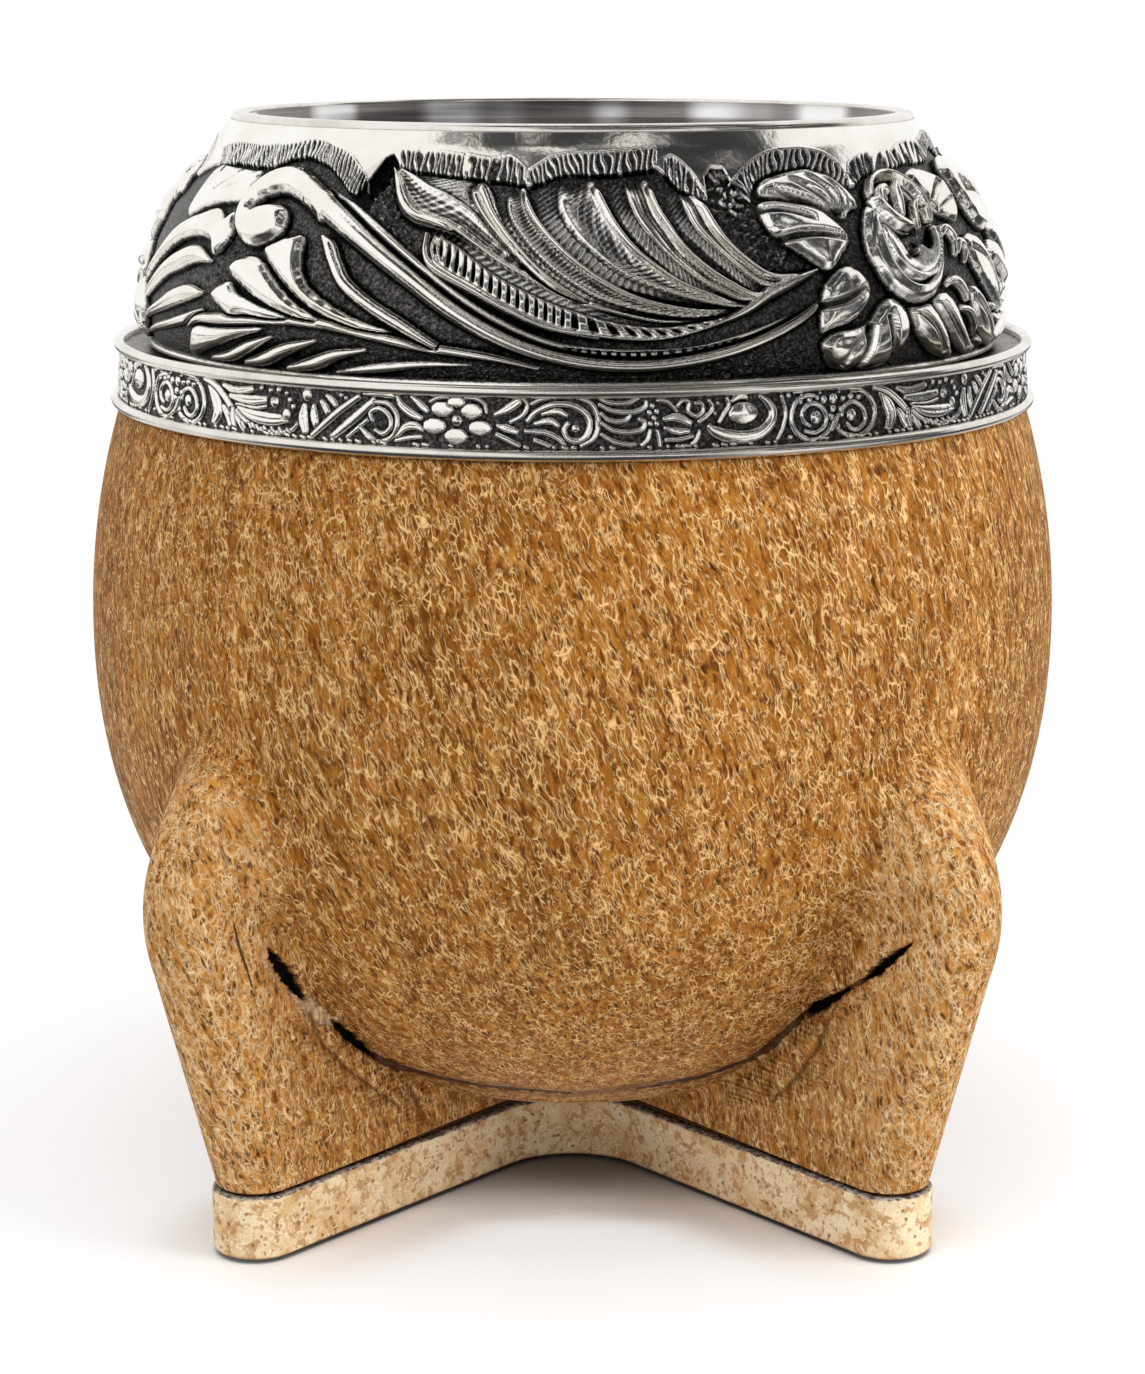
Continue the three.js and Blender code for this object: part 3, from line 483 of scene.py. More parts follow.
    plate([-34, 7, -36.5, 5.9, -39, 4.95, -41.5, 4.25, -45, 4, -48.3, 4.8, -50.3, 6.6, -50.8, 8.8,
        -49.9, 10.5, -48, 11.7, -45.5, 12.2, -43, 12, -41, 11.2, -40.3, 10, -41.2, 8.6, -43.5, 8.05,
        -46, 8.3, -47.6, 8.7, -47.3, 7.8, -45, 6.95, -42.7, 6.8, -40, 7.4, -37, 8.4, -34.2, 9.5],
        dome(1.12, 0.9, 0.4, 0.8), moat=0.38)
    ridge(stem[:7], moat=0, mode="join", power=0.7)

    # The big acanthus leaf.
    claw = [-26.1, 3.8, -24.9, 5, -23.4, 7, -21.6, 8.6, -16, 9.9, -12, 11.6, -9, 13, -6, 14.1, -3, 15.2,
        0, 16.1, 5, 17.1, 10, 17.9, 15, 17.9, 20, 17.1]
    back = [-25.8, 3.6, -22.5, 4.3, -19.5, 5.2, -16.5, 6, -13, 7.7, -10, 9.6, -7, 11.4, -4.5, 13, -1, 14.9,
        3, 16.3, 8, 17.2, 12, 17.5, 16, 17.4, 20, 16.9]
    lobe(back, claw, 0.72, 1.2, 0.9, 0.14, (rungs(24, 0.05, (0.3, 1), (0.05, 0.8)),),
        (hatching(40, 0.5, 2, (0, 0.3)), hatching(0, 0.35, 7, (0.1, 0.45)),
        hatching(24, 0.3, 0.4, (0.4, 1))), start=0.03)
    ridge([-25.9, 3.9, 0.12, 0.8, -24.6, 5.1, 0.5, 1.2, -22.8, 7.2, 0.66, 1.3, -20.6, 8.6, 0.55, 1.25,
        -17, 9.5, 0.28, 1.05, -14.5, 10.2, 0.1, 0.8], moat=0, mode="join")
    ladder_top = [-18.2, 10.1, -15, 10.9, -12, 12.4, -9, 13.9, -6, 15, -3, 16, 0, 16.8, 5, 17.9, 10, 18.4,
        15, 18.1, 20, 17.3, 25, 15.7]
    ladder_low = [-17.8, 12.7, -15, 14.1, -12, 15.1, -9, 16.3, -6, 17.4, -3, 18.3, 0, 18.9, 7, 19.5,
        12, 19.3, 17, 18.3, 21, 17.1, 25, 15.8]
    lobe(ladder_top, ladder_low, 0.78, 1.1, 0.93, 0.1, (rungs(30, 0.34, (0.03, 0.86), (0.12, 0.8), 0.35),),
        (rungs(30, 0.55, (0.03, 0.86), (0.12, 0.8), 0.35),), moat=0.35, start=0.04)
    ridge([-18.5, 10.3, 0.2, 0.85, -18.2, 12.2, 0.3, 1.1, -16.7, 13.5, 0.36, 1.2, -12, 15.25, 0.36, 1.15,
        -8, 16.75, 0.32, 1.1, -3, 18.3, 0.26, 1.05, 3, 19.25, 0.14, 0.9], moat=0, mode="join")
    for x in (-17.2, -16.4):
        ridge([x, 10.6, 0.1, 0.9, x - 0.3, 11.7, 0.12, 1, x + 0.3, 12.9, 0.1, 0.95], moat=0, mode="join")
    lobe([-14.2, 5.3, -13, 7.2, -11.2, 8.9, -8.8, 10.8, -5.6, 13.1, -2.6, 14.9, 1, 16.2], [-12.1, 4.6,
        -10.6, 6.2, -9.6, 8, -7.6, 10.2, -4.4, 12.8, -1.4, 14.6, 2, 16.1], 0.7, 1.15, 0.6, 0.32, moat=0.25)
    lobe([-8.9, 5.6, -8.4, 8.3, -6.4, 10.6, -3.4, 12.9, -0.5, 14.5, 3, 15.9, 8, 17, 14, 17.6, 19.5, 17.2],
        [-6.3, 5.3, -4.9, 7.9, -2.9, 10, 0.1, 12.2, 4, 14.3, 8, 15.8, 12, 16.6, 16, 17, 20, 16.9], 0.68,
        1.2, 0.84, 0.19, (rungs(34, 0.1, (0.66, 0.97), (0.08, 0.85)),), (hatching(58, 0.5, 3, (0, 0.66)),
        rungs(34, 0.4, (0.66, 0.97), (0.05, 0.85))))
    lobe([-2.3, 5, -1.9, 8, 0, 10.3, 3, 12.4, 6, 14, 10, 15.2, 15, 16.2, 20, 16.8, 22.5, 16.4], [3.3, 4.6,
        4.6, 7, 6.1, 9.4, 8.2, 11.6, 11, 13.4, 14, 14.9, 18, 16, 21, 16.4, 23, 16.2], 0.74, 1.2, 0.88,
        0.15, (rungs(34, 0.08, (0.42, 0.95), (0.08, 0.8)),), (hatching(44, 0.34, 4, (0, 0.46)),
        hatching(13, 0.34, 6, (0, 0.46)), rungs(38, 0.6, (0.44, 0.97), (0.05, 0.8)),
        hatching(0, 0.3, 5, (0.42, 0.9))))
    lobe([6.8, 4.7, 7.7, 8, 9.5, 10.3, 12, 12.5, 15, 14.4, 18, 15.6, 21, 16.3, 24, 15.9], [10.6, 4.6,
        11.3, 7.4, 12.6, 9.6, 14.2, 11.6, 16.7, 13.4, 19.3, 14.7, 22, 15.7, 24.5, 15.5], 0.7, 1.15, 0.86,
        0.18, (), (hatching(2, 0.5, 7, (0, 0.55)), hatching(38, 0.4, 5, (0.4, 0.97))))
    lobe([14.2, 6, 15.2, 9.2, 17.3, 11.3, 20, 13.3, 23, 15, 26, 15.2, 29, 14.6], [16.9, 6.3, 18.6, 9.3,
        19.7, 11, 21.7, 12.6, 24.2, 13.9, 27, 14.2, 30.5, 13.9], 0.74, 1.12, 0.8, 0.24, (),
        (hatching(2, 0.45, 6, (0, 0.5)), hatching(28, 0.35, 4, (0.35, 0.8))), tip=0.2)
    ridge([17, 18.3, 0.1, 0.7, 21, 17.1, 0.36, 1, 24, 15.8, 0.55, 1.15, 27.5, 14.8, 0.5, 1.1,
        31.4, 13.9, 0.1, 0.7], moat=0, mode="join")

    # Rose leaves.
    plate([26.2, 6.4, 27, 5.1, 30, 4.4, 34, 4, 37, 4.1, 40, 5.1, 41.8, 7.9, 40, 8.4, 38.2, 9.2, 35, 8.3,
        32, 7.3, 29, 6.8], dome(0.6, 0.5, 0.75, 1.8), moat=0.36)
    for line in ([38, 8.9, 35.5, 7, 31.5, 4.9], [38.3, 8.7, 37, 6.6, 34.8, 4.5],
                 [38.7, 8.5, 39, 6.8, 38, 4.9], [37.5, 8.8, 33, 7.3, 28.5, 6]):
        groove(line, 0.5, 0.6)
    plate([25.3, 7.6, 25.4, 9.4, 26.8, 10.9, 29.5, 12.3, 33.1, 14, 35.6, 12.8, 37.6, 11.5, 37.3, 10.4,
        36, 9.3, 34, 8.1, 30, 7.4, 27.2, 7.2], dome(0.7, 0.55, 0.8, 1.6), moat=0.34)
    groove([25.2, 8.1, 29, 8.4, 32.8, 9.3], 0.8, 0.62)
    groove([26.4, 11, 31, 10.7, 36.6, 11.1], 0.8, 0.62)
    plate([32, 15.7, 33.4, 14.6, 35, 13.9, 37.4, 13.9, 39, 15.2, 38.9, 16.8, 37.4, 17.9, 35, 18.8,
        32.5, 19.2, 31.1, 19.4, 31.3, 17.6], dome(0.7, 0.55, 0.8, 1.6), moat=0.34)
    groove([30.8, 17.2, 34.5, 16.8, 38.6, 15.7], 0.8, 0.62)
    plate([31.4, 20.5, 33.4, 19.5, 36, 19.4, 38.4, 18.9, 40.8, 17.3, 43, 17, 45, 18.2, 45.6, 19.9,
        44.6, 21.4, 42.5, 22.5, 40.3, 23.1, 36, 23.1, 33, 22.7, 31.8, 21.6], dome(0.7, 0.55, 0.8, 1.6),
        moat=0.34)
    groove([38.9, 19, 38, 21, 36.8, 23.4], 0.85, 0.7)
    groove([41.6, 18.3, 42, 20.2, 43, 22.4], 0.85, 0.7)
    groove([34.4, 22.6, 35.6, 21, 38.7, 19.2], 0.5, 0.55)
    plate([46, 18.2, 48, 17.6, 50.3, 17.9, 53, 19.8, 55, 21.6, 56.3, 23.1, 53, 22.9, 50, 22.1, 47.4, 20.5],
        dome(0.7, 0.5, 0.6), moat=0.32, turns=rosy)
    groove([47.6, 18.5, 50.5, 20, 53.5, 22.4], 0.5, 0.42, turns=rosy)
    plate([51, 17.8, 53, 17, 55.2, 17.4, 58, 19.8, 61, 21.7, 64, 22.9, 60, 23.1, 57, 22.2, 54, 20.3],
        dome(0.65, 0.5, 0.6), moat=0.3, turns=rosy)
    groove([52.6, 17.9, 56, 20.4, 60, 22.5], 0.5, 0.42, turns=rosy)
    ridge([54.7, 16.3, 0.3, 0.7, 57, 16, 0.5, 0.95, 59, 17.2, 0.42, 0.9, 59.6, 18.6, 0.2, 0.6], moat=0.25,
        turns=rosy)
    ridge([57.5, 18.6, 0.3, 0.6, 60, 19, 0.42, 0.85, 61.8, 20.4, 0.35, 0.8, 62.3, 21.6, 0.15, 0.5],
        moat=0.25, turns=rosy)
    ridge([57.5, 11.7, 0.3, 0.6, 59, 11.2, 0.55, 0.9, 60.2, 12.4, 0.5, 0.85, 59.2, 13.8, 0.3, 0.6],
        moat=0.25, turns=rosy)
    ridge([60.2, 13.6, 0.2, 0.6, 61.6, 12.6, 0.45, 0.85, 62.8, 13.4, 0.4, 0.8, 61.6, 14.6, 0.2, 0.5],
        moat=0.22, turns=rosy)
    plate([57, 5.6, 60, 4.6, 64, 5.1, 67.3, 6.4, 66.6, 9, 64, 10.6, 61, 10.2, 58, 9.1],
        dome(0.7, 0.55, 0.6), moat=0.34, turns=rosy)
    groove([58.5, 8.4, 61.5, 7.2, 65.5, 6.4], 0.55, 0.45, turns=rosy)
    groove([59.2, 9.3, 62.5, 8.7, 65.8, 8.4], 0.4, 0.24, turns=rosy)

    plate([63.4, 12.6, 66, 12, 69, 12.7, 71.6, 14.8, 73.2, 18.4, 72.4, 20.2, 69, 18.6, 65.6, 16.4,
        63.8, 14.6], dome(0.7, 0.5, 0.6), moat=0.34, turns=rosy)
    groove([64.4, 13.2, 68.4, 14.9, 72.4, 19.2], 0.6, 0.5, turns=rosy)
    plate([61.2, 17, 63.6, 17.2, 67.2, 19.3, 70.2, 21.2, 72, 23.2, 68, 22.9, 64.4, 21.6, 61.6, 19.2],
        dome(0.7, 0.5, 0.6), moat=0.34, turns=rosy)
    groove([62, 17.8, 66, 20.2, 70.4, 22.6], 0.6, 0.5, turns=rosy)

    # The rose: a broad outer petal round the foot, a cupped bowl, and overlapping petals furled above
    # its dark mouth.
    plate([43.4, 8.2, 41.3, 9.8, 40.3, 12, 41, 14.2, 42.7, 16.1, 45.3, 17.3, 48.2, 17.6, 51.2, 17.1,
        53.6, 15.7, 55.3, 13.6, 55.8, 11.2, 55.2, 9.6, 50, 9, 46, 8.4], dome(0.85, 0.8, 0.6), moat=0.4,
        turns=rosy)
    plate([45, 9.4, 45.6, 11.2, 46.4, 12.7, 47.5, 13.4, 48.6, 12.8, 51, 13, 53.4, 12.6, 55, 11.2,
        55.3, 9.2, 54, 7.1, 50.5, 5.7, 46.5, 6.5], sunk(0.95, 0.72, 0.35), moat=0, mode="cut", turns=rosy)
    petal([43.4, 10, 43.1, 12, 43.8, 14, 45.7, 15.4, 48.5, 15.9, 51.3, 15.4, 53.7, 13.9, 55.1, 12,
        55.5, 10.8], [45.8, 10.8, 46.5, 12.3, 47.3, 13.5, 48.4, 13.5, 49.2, 12.7, 49.9, 12.4, 51.3, 13,
        53, 12.6, 54.5, 11], 1.05, 1.4, 0.42, 0.05, rosy)
    # Painted shade in the rose's mouth.
    plate([46.6, 12, 47.8, 12.9, 49.6, 11.9, 51.3, 12.4, 54.6, 10.8, 54.6, 12.4, 52.4, 14.2, 49.4, 14.9,
        47.2, 14.2], shade(0.85, 0.4), mode="tint", moat=0, turns=rosy)
    ridge([44, 10.6, 0.1, 1.1, 43.9, 12.3, 0.16, 1.3, 44.9, 14.1, 0.18, 1.4, 48.2, 15.3, 0.2, 1.45,
        51.6, 14.9, 0.18, 1.4, 54.3, 12.8, 0.16, 1.3, 55.3, 11.1, 0.1, 1.2], moat=0, mode="join",
        turns=rosy)
    plate([49.6, 8.2, 50.2, 6.5, 51.8, 5.9, 53.8, 6.9, 54.6, 8.4, 53.2, 9, 51.4, 9.4],
        dome(0.45, 0.5, 0.4), moat=0.1, turns=rosy)
    petal([44, 8.4, 44.5, 6.8, 46.2, 5.5, 49, 4.9, 52.2, 5.2, 54.8, 6.6, 56, 8.6, 55.7, 10.5], [44.7, 8.4,
        45.2, 7.2, 46.7, 6.2, 49.2, 5.7, 51.9, 6, 53.9, 7.2, 54.8, 8.8, 54.6, 10.3], 0.5, 1.45, 0.35, 0.14,
        rosy)
    petal([46, 8.8, 45.5, 7.6, 46.6, 6.5, 48.4, 6.2, 49, 6.9], [48.3, 9.4, 47.6, 8.4, 47.8, 7.6, 48.3, 7.3,
        48.9, 7.5], 0.3, 1.2, 0.3, 0.1, rosy)
    ridge([47, 8.3, 0.08, 0.9, 47.3, 7.3, 0.14, 1.2, 48.3, 6.6, 0.08, 1], moat=0, mode="join", turns=rosy)
    ridge([48.6, 10.2, 0.14, 1, 49.3, 8.4, 0.45, 1.45, 50.3, 6.9, 0.42, 1.45, 51.6, 6, 0.16, 1.2],
        moat=0.1, turns=rosy)
    # Painted shade down the middle of the bud.
    plate([49.9, 7.6, 51.4, 6.9, 52.6, 8.2, 51.8, 9.6, 51.4, 11.4, 49.8, 11.4, 49.6, 9.6],
        shade(0.9, 0.3), mode="tint", moat=0, turns=rosy)
    plate([43.8, 7.9, 44.3, 9.7, 46.2, 11, 48.8, 11.3, 50.4, 10.8, 48.8, 10, 46.8, 9.1, 45.2, 7.6],
        dome(1.25, 0.5, 0.6, 0.7), moat=0.16, turns=rosy)
    ridge([51.6, 10.9, 0.12, 0.9, 51.8, 9.4, 0.26, 1.3, 52.9, 8.5, 0.3, 1.4, 54.2, 9.1, 0.3, 1.4,
        54.2, 10.4, 0.14, 1.1], moat=0.1, turns=rosy)


class FriezeRelief(Relief):
    """The frieze's shapes. Four sprays and centres go round, and a palmette fills what is left behind."""

    def thread(self, points, half=0.15, height=0.36, **how):
        """A raised line, thinning to its ends."""
        points = pairs(points)
        shape = [0.55 + 0.45 * math.sin(math.pi * (i + 0.5) / len(points)) for i in range(len(points))]
        self.ridge([(x, y, 1.25 * half * k, height) for (x, y), k in zip(points, shape)], moat=0.08, **how)

    def leaf(self, points, half, height=0.36):
        """A leaf with a groove down its middle."""
        points = pairs(points)
        shape = [max(math.sin(math.pi * (i + 0.35) / len(points)), 0.12) for i in range(len(points))]

        def profile(t, v):
            return np.clip(1 - (2 * v - 1) ** 2, 0, 1) ** 0.5 * (1 - 0.45 * np.exp(-((v - 0.5) / 0.1) ** 2))

        self.ridge([(x, y, 1.3 * half * k, height) for (x, y), k in zip(points, shape)], profile, moat=0.08)

    def oval(self, x, y, wide, high, profile, corners=8, **how):
        """A raised oval, half as wide in degrees and half as high as given."""
        a = np.linspace(0, FULL_TURN, corners + 1)[:-1]
        self.plate([(x + wide * math.cos(t), y + high * math.sin(t)) for t in a], profile, **how)

    def drop(self, x, y, radius, height=0.4, stretch=1.0):
        """A raised berry."""
        self.oval(x, y, radius * stretch / self.degree_mm, radius, lambda d: height * rounded(d / radius),
                  soft=0.05, moat=0.1)


def chase_spray(relief):
    """The volutes, leaves, lily, ribbon and spiral of one spray."""
    thread, leaf, drop, groove = relief.thread, relief.leaf, relief.drop, relief.groove

    # Double volute.
    drop(28.4, 2.9, 0.52)
    thread([27.6, 3.6, 26.8, 3.2, 26.6, 2.5, 27.3, 1.9, 28.4, 1.8, 29.4, 2.3, 29.8, 3.1, 29.4, 3.8,
        28.2, 4.2, 26.9, 4], 0.15)
    thread([28.3, 1.1, 27, 1.1, 25.8, 1.6, 25.3, 2.5, 25.3, 3.3, 26, 4.2, 27.5, 4.75, 29, 4.65, 30.2, 4,
        30.7, 3], 0.17)
    drop(33.3, 2.95, 0.48)
    thread([31.9, 3, 32.3, 2.2, 33.7, 1.9, 35, 2.6, 35.2, 3.6, 34.2, 4.2, 33.2, 4.1, 32.6, 3.6], 0.15)
    thread([33.2, 1, 34.8, 1, 36.3, 1.9, 36.7, 3, 36.2, 4, 34.8, 4.7, 33, 4.7, 31.6, 4.2, 30.9, 3.3], 0.17)
    berries = [
        26.4, 1.55, 0.16, 27.6, 1.45, 0.22, 28.6, 1.3, 0.24, 29.5, 1.5, 0.3, 30.8, 1.45, 0.4, 32.1, 1.5, 0.22,
        33.2, 1.4, 0.26, 34.4, 1.5, 0.22, 30.7, 2.3, 0.28, 31.8, 2.4, 0.26, 26.6, 0.95, 0.14, 29, 0.9, 0.16,
        31.6, 0.9, 0.14, 33.6, 0.95, 0.16, 35.4, 1.3, 0.16]
    for x, y, r in np.reshape(berries, (-1, 3)):
        drop(x, y, r)
    leaf([30.2, 2.8, 30.9, 3.3, 31.4, 4], 0.24)
    leaf([31.5, 2.8, 31, 3.4, 30.4, 4.1], 0.2)
    thread([25.5, 0.75, 28, 0.6, 32, 0.65, 34.8, 0.85], 0.1)

    # Leaf spray with its berries.
    leaf([37.6, 1.2, 38.7, 2.3, 39.3, 3.4, 38.6, 4.5], 0.5)
    leaf([40.2, 2.9, 41.2, 3.6, 41.7, 4.5], 0.34)
    thread([36.6, 0.8, 38.6, 1.2, 40.6, 2.2, 42.3, 3.4, 44, 4.7], 0.24)
    leaf([40.2, 1.1, 42.6, 1.5, 45.2, 1.15], 0.3)
    leaf([41.4, 1.95, 44.4, 2.15, 47.4, 1.95], 0.34)
    thread([42.6, 2.6, 45.4, 2.75, 47.4, 2.5], 0.12)
    leaf([42.8, 2.9, 45.4, 3.4, 48.2, 3.55, 50.6, 3.4], 0.42)
    thread([42.6, 3.1, 44.5, 4, 47.5, 4.6, 49.6, 4.6, 51.4, 4.2, 52.3, 3.4], 0.15)
    for k in range(7):
        x = 43.6 + 1.15 * k
        thread([x, 4.05 + 0.05 * min(k, 3), x + 0.5, 4.6], 0.09, 0.28)
    leaf([42, 2.9, 42, 3.7, 42.4, 4.6], 0.22)
    drop(48.6, 2.05, 0.45)
    groove([48.2, 2, 48.6, 1.75, 49, 2], 0.2, 0.1)
    drop(50.4, 3, 0.42)
    for x, y in pairs([46.6, 1, 48, 1.1, 49.2, 1, 50.4, 1.25, 50.9, 1.75, 51.4, 2.3]):
        drop(x, y, 0.2)

    # Lily.
    drop(53.3, 1.2, 0.5, stretch=0.95)
    leaf([53, 2, 52.8, 3.2, 53.2, 4.4], 0.4)
    leaf([54.3, 2, 54.3, 2.9, 54.7, 3.9], 0.3)
    leaf([55.2, 1.6, 55.9, 2.2, 56.4, 3], 0.24)
    leaf([55.9, 1.1, 56.7, 1.5, 57.4, 2.1], 0.2)
    drop(57.9, 1, 0.16)
    drop(58.5, 1.25, 0.16)

    # Ribbon.
    thread([60.2, 1, 57.2, 2.6, 53.9, 4.7], 0.24)
    thread([62.2, 1.2, 59.7, 2.8, 56.7, 4.6], 0.3)
    thread([61.3, 2.9, 58.7, 4.5], 0.14)
    leaf([60.7, 0.75, 63, 0.6, 64.9, 0.8], 0.3)

    # Spiral.
    thread([61.9, 3, 61.6, 2.3, 62.7, 1.95, 63.9, 2.5, 64.1, 3.4, 63.2, 4, 62.2, 3.7], 0.15)
    thread([62.2, 1.4, 63.7, 1.5, 64.7, 2.2, 64.9, 3.1, 64.5, 4, 63.3, 4.6, 61.8, 4.6], 0.16)
    leaf([60.4, 3.6, 61.3, 4.2, 62.2, 4.6], 0.2)


def chase_centre(relief):
    """The flower, scroll and acanthus between two sprays."""
    thread, leaf, drop, oval, ridge = relief.thread, relief.leaf, relief.drop, relief.oval, relief.ridge

    leaf([-19.9, 0.8, -19.3, 1.6, -18.2, 2.2, -16.9, 2.6], 0.26)
    leaf([-18.2, 0.8, -17, 1.5, -16.2, 2], 0.22)
    leaf([-20, 4.3, -18.9, 3.4, -17.8, 3.2, -16.7, 3.5], 0.24)
    thread([-20, 4.5, -18.2, 4.2, -16.8, 4.1], 0.13)
    petals = [-14.5, 1.75, 1.25, 0.62, -11.2, 1.85, 1.2, 0.6, -15.4, 3.15, 1.3, 0.62, -10.2, 3.2, 1.25, 0.6,
              -12.9, 3.95, 1.3, 0.6, -12.9, 1.15, 1, 0.42]
    for x, y, wide, high in np.reshape(petals, (-1, 4)):
        oval(x, y, wide, high, lambda d: 0.42 * rounded(d / 0.34) - 0.1 * smooth(d, 0.3, 0.5), moat=0.1)
    drop(-12.9, 2.65, 0.42, 0.5)
    thread([-16, 1.2, -15, 0.8, -13.9, 0.75], 0.12)
    thread([-12, 0.75, -10.8, 0.8, -9.8, 1.2, -9.5, 2], 0.12)
    leaf([-8.6, 2.1, -7.2, 1.6, -6.2, 1.1, -5.6, 0.8], 0.28)
    thread([-5.6, 0.6, -5, 1.3, -5.5, 2.1, -6.9, 2.7], 0.13)
    leaf([-8.3, 3, -7.2, 3.2, -6, 3.5], 0.24)
    thread([-8.4, 3.7, -7.2, 4.1, -5.8, 4.6], 0.17)

    # Scroll.
    thread([-5, 2.6, -4, 1.8, -2, 1.2, 0, 1.3, 1.5, 2, 1.9, 3, 1.4, 3.9, 0.4, 4.2, -0.6, 3.9, -0.9, 3.2,
        -0.4, 2.7], 0.2)
    thread([0.5, 0.6, 2, 1.1, 2.7, 2, 2.8, 3, 2.3, 4, 0.9, 4.6], 0.16)
    leaf([-3.4, 2, -1.7, 1.75, -0.6, 2.1], 0.18)
    leaf([-4.2, 2.8, -2.5, 2.55, -1.5, 2.95], 0.2)
    thread([-5.2, 3.4, -3, 3.5, -1.5, 4, -0.8, 4.6], 0.17)
    thread([-4.2, 4.1, -2.4, 4.6], 0.16)
    thread([-4.6, 1.2, -3.7, 0.85, -2.6, 0.65], 0.12)
    drop(0.35, 3.15, 0.3)

    # Acanthus.
    thread([2.9, 0.65, 4, 1.05, 6, 1.1, 7.3, 0.7], 0.13)
    thread([2.9, 1.2, 4.5, 1.75, 6.7, 1.85, 8, 1.45, 8.2, 0.95], 0.15)
    thread([3.1, 1.9, 3.8, 2.4, 4.8, 2.6, 5.9, 2.5, 6.4, 2.1], 0.14)
    thread([3.1, 2.7, 4.4, 3.3, 6, 3.5, 7.6, 3.3, 8, 2.7, 7.3, 2.4], 0.16)
    thread([3.1, 3.6, 4.4, 4.2, 6, 4.5, 7, 4.5], 0.15)
    for x, y in pairs([8.8, 1.35, 8.5, 1.9, 9.3, 1.85, 9, 2.35, 8.6, 2.8, 9.3, 2.85]):
        drop(x, y, 0.19)
    thread([8.6, 3.3, 8.3, 4.1, 7.6, 4.6], 0.14)
    thread([9.4, 3.4, 9.6, 4.1, 9.7, 4.7], 0.13)

    # Small flower with its curls.
    leaf([10.1, 2.5, 11.6, 2.35, 13.2, 2.9], 0.26)
    leaf([10.2, 3.2, 11.6, 3.5, 13, 3.5], 0.2)
    thread([11.6, 1.5, 12.2, 1, 13, 1.15, 12.9, 1.85, 13.8, 2.3, 14.6, 1.9, 14.4, 1.25, 13.6, 1.25], 0.13)
    thread([15.3, 1, 15.7, 1.7, 15, 2.3, 14, 2.8], 0.14)
    thread([9.4, 0.9, 10.6, 1.1, 11.6, 1.85], 0.13)
    thread([10.3, 4.2, 12, 4.15, 13.4, 3.9], 0.13)
    thread([11.6, 4.75, 13.2, 4.6, 13.8, 4.2, 14.2, 3.5], 0.13)

    # Pendant.
    oval(19.3, 2.2, 1.7, 0.85, lambda d: 0.48 * rounded(d / 0.7), corners=10, moat=0.14)
    ridge([15.2, 3.1, 0.16, 0.35, 15.9, 3.6, 0.42, 0.42, 17.3, 4, 0.52, 0.44, 19.3, 4.2, 0.54, 0.44,
        21.3, 3.9, 0.5, 0.44, 22.6, 3.1, 0.46, 0.42, 22.9, 2.2, 0.4, 0.4, 22.3, 1.4, 0.3, 0.36,
        21.3, 0.85, 0.12, 0.3], moat=0.1)
    thread([16.4, 2.9, 17, 2.2, 17.6, 1.5, 17.4, 0.9], 0.14)
    leaf([17.9, 1.2, 18.8, 0.8, 19.8, 0.9], 0.2)
    drop(16.3, 1.3, 0.17)
    drop(15.9, 2.1, 0.15)
    thread([24, 0.9, 24.5, 2.3, 24.1, 3.6, 23.3, 4.6], 0.13)
    drop(24.9, 0.95, 0.2)
    drop(25, 4.4, 0.2)


def tuck_in_dots(relief):
    """Small punched dots and strokes in the gaps along both edges."""
    chance = np.random.default_rng(21)
    for x in np.arange(-20, 64.5, 1.05):
        y = 4.78 if chance.random() < 0.75 else 0.5
        if chance.random() < 0.72:
            end = x + chance.uniform(0.2, 0.7), y + chance.uniform(-0.05, 0.05)
            relief.thread([x, y - 0.1, *end], 0.09, 0.26)


def chase_back(relief):
    """The palmette that fills the rest of the round at the back."""
    middle, root = 159.8, 2.7
    for side in (-1, 1):
        for k, (reach, low) in enumerate(((9.2, 2.2), (8.0, 3.5), (5.6, 4.4), (8.6, 1.0))):
            bend = middle + side * (1.2 + 0.5 * reach), (root + low) / 2 + 0.2 * (k - 1)
            relief.leaf([middle + side * 1.2, root, *bend, middle + side * reach, low], 0.32)
        for x, y in ((4.0, 0.8), (9.6, 3.2), (3.2, 4.5)):
            relief.drop(middle + side * x, y, 0.22)
    relief.drop(middle, root, 0.6, 0.5)
    relief.leaf([middle, 2.0, middle, 1.2, middle, 0.6], 0.3)
    relief.leaf([middle, 3.4, middle, 4.1, middle, 4.7], 0.3)


def collar_relief():
    relief = CollarRelief(24.02, 120, 0.7, 12)
    relief.neck()
    chase_collar(relief)
    relief.hem()
    return relief


def frieze_relief():
    relief = FriezeRelief(5.0, 84.7, 0.75, 13)
    relief.turns = (-2, -1, 0, 1)
    chase_spray(relief)
    chase_centre(relief)
    tuck_in_dots(relief)
    relief.turns = (0,)
    chase_back(relief)
    return relief


# Meshes from grids of points, in millimetres.


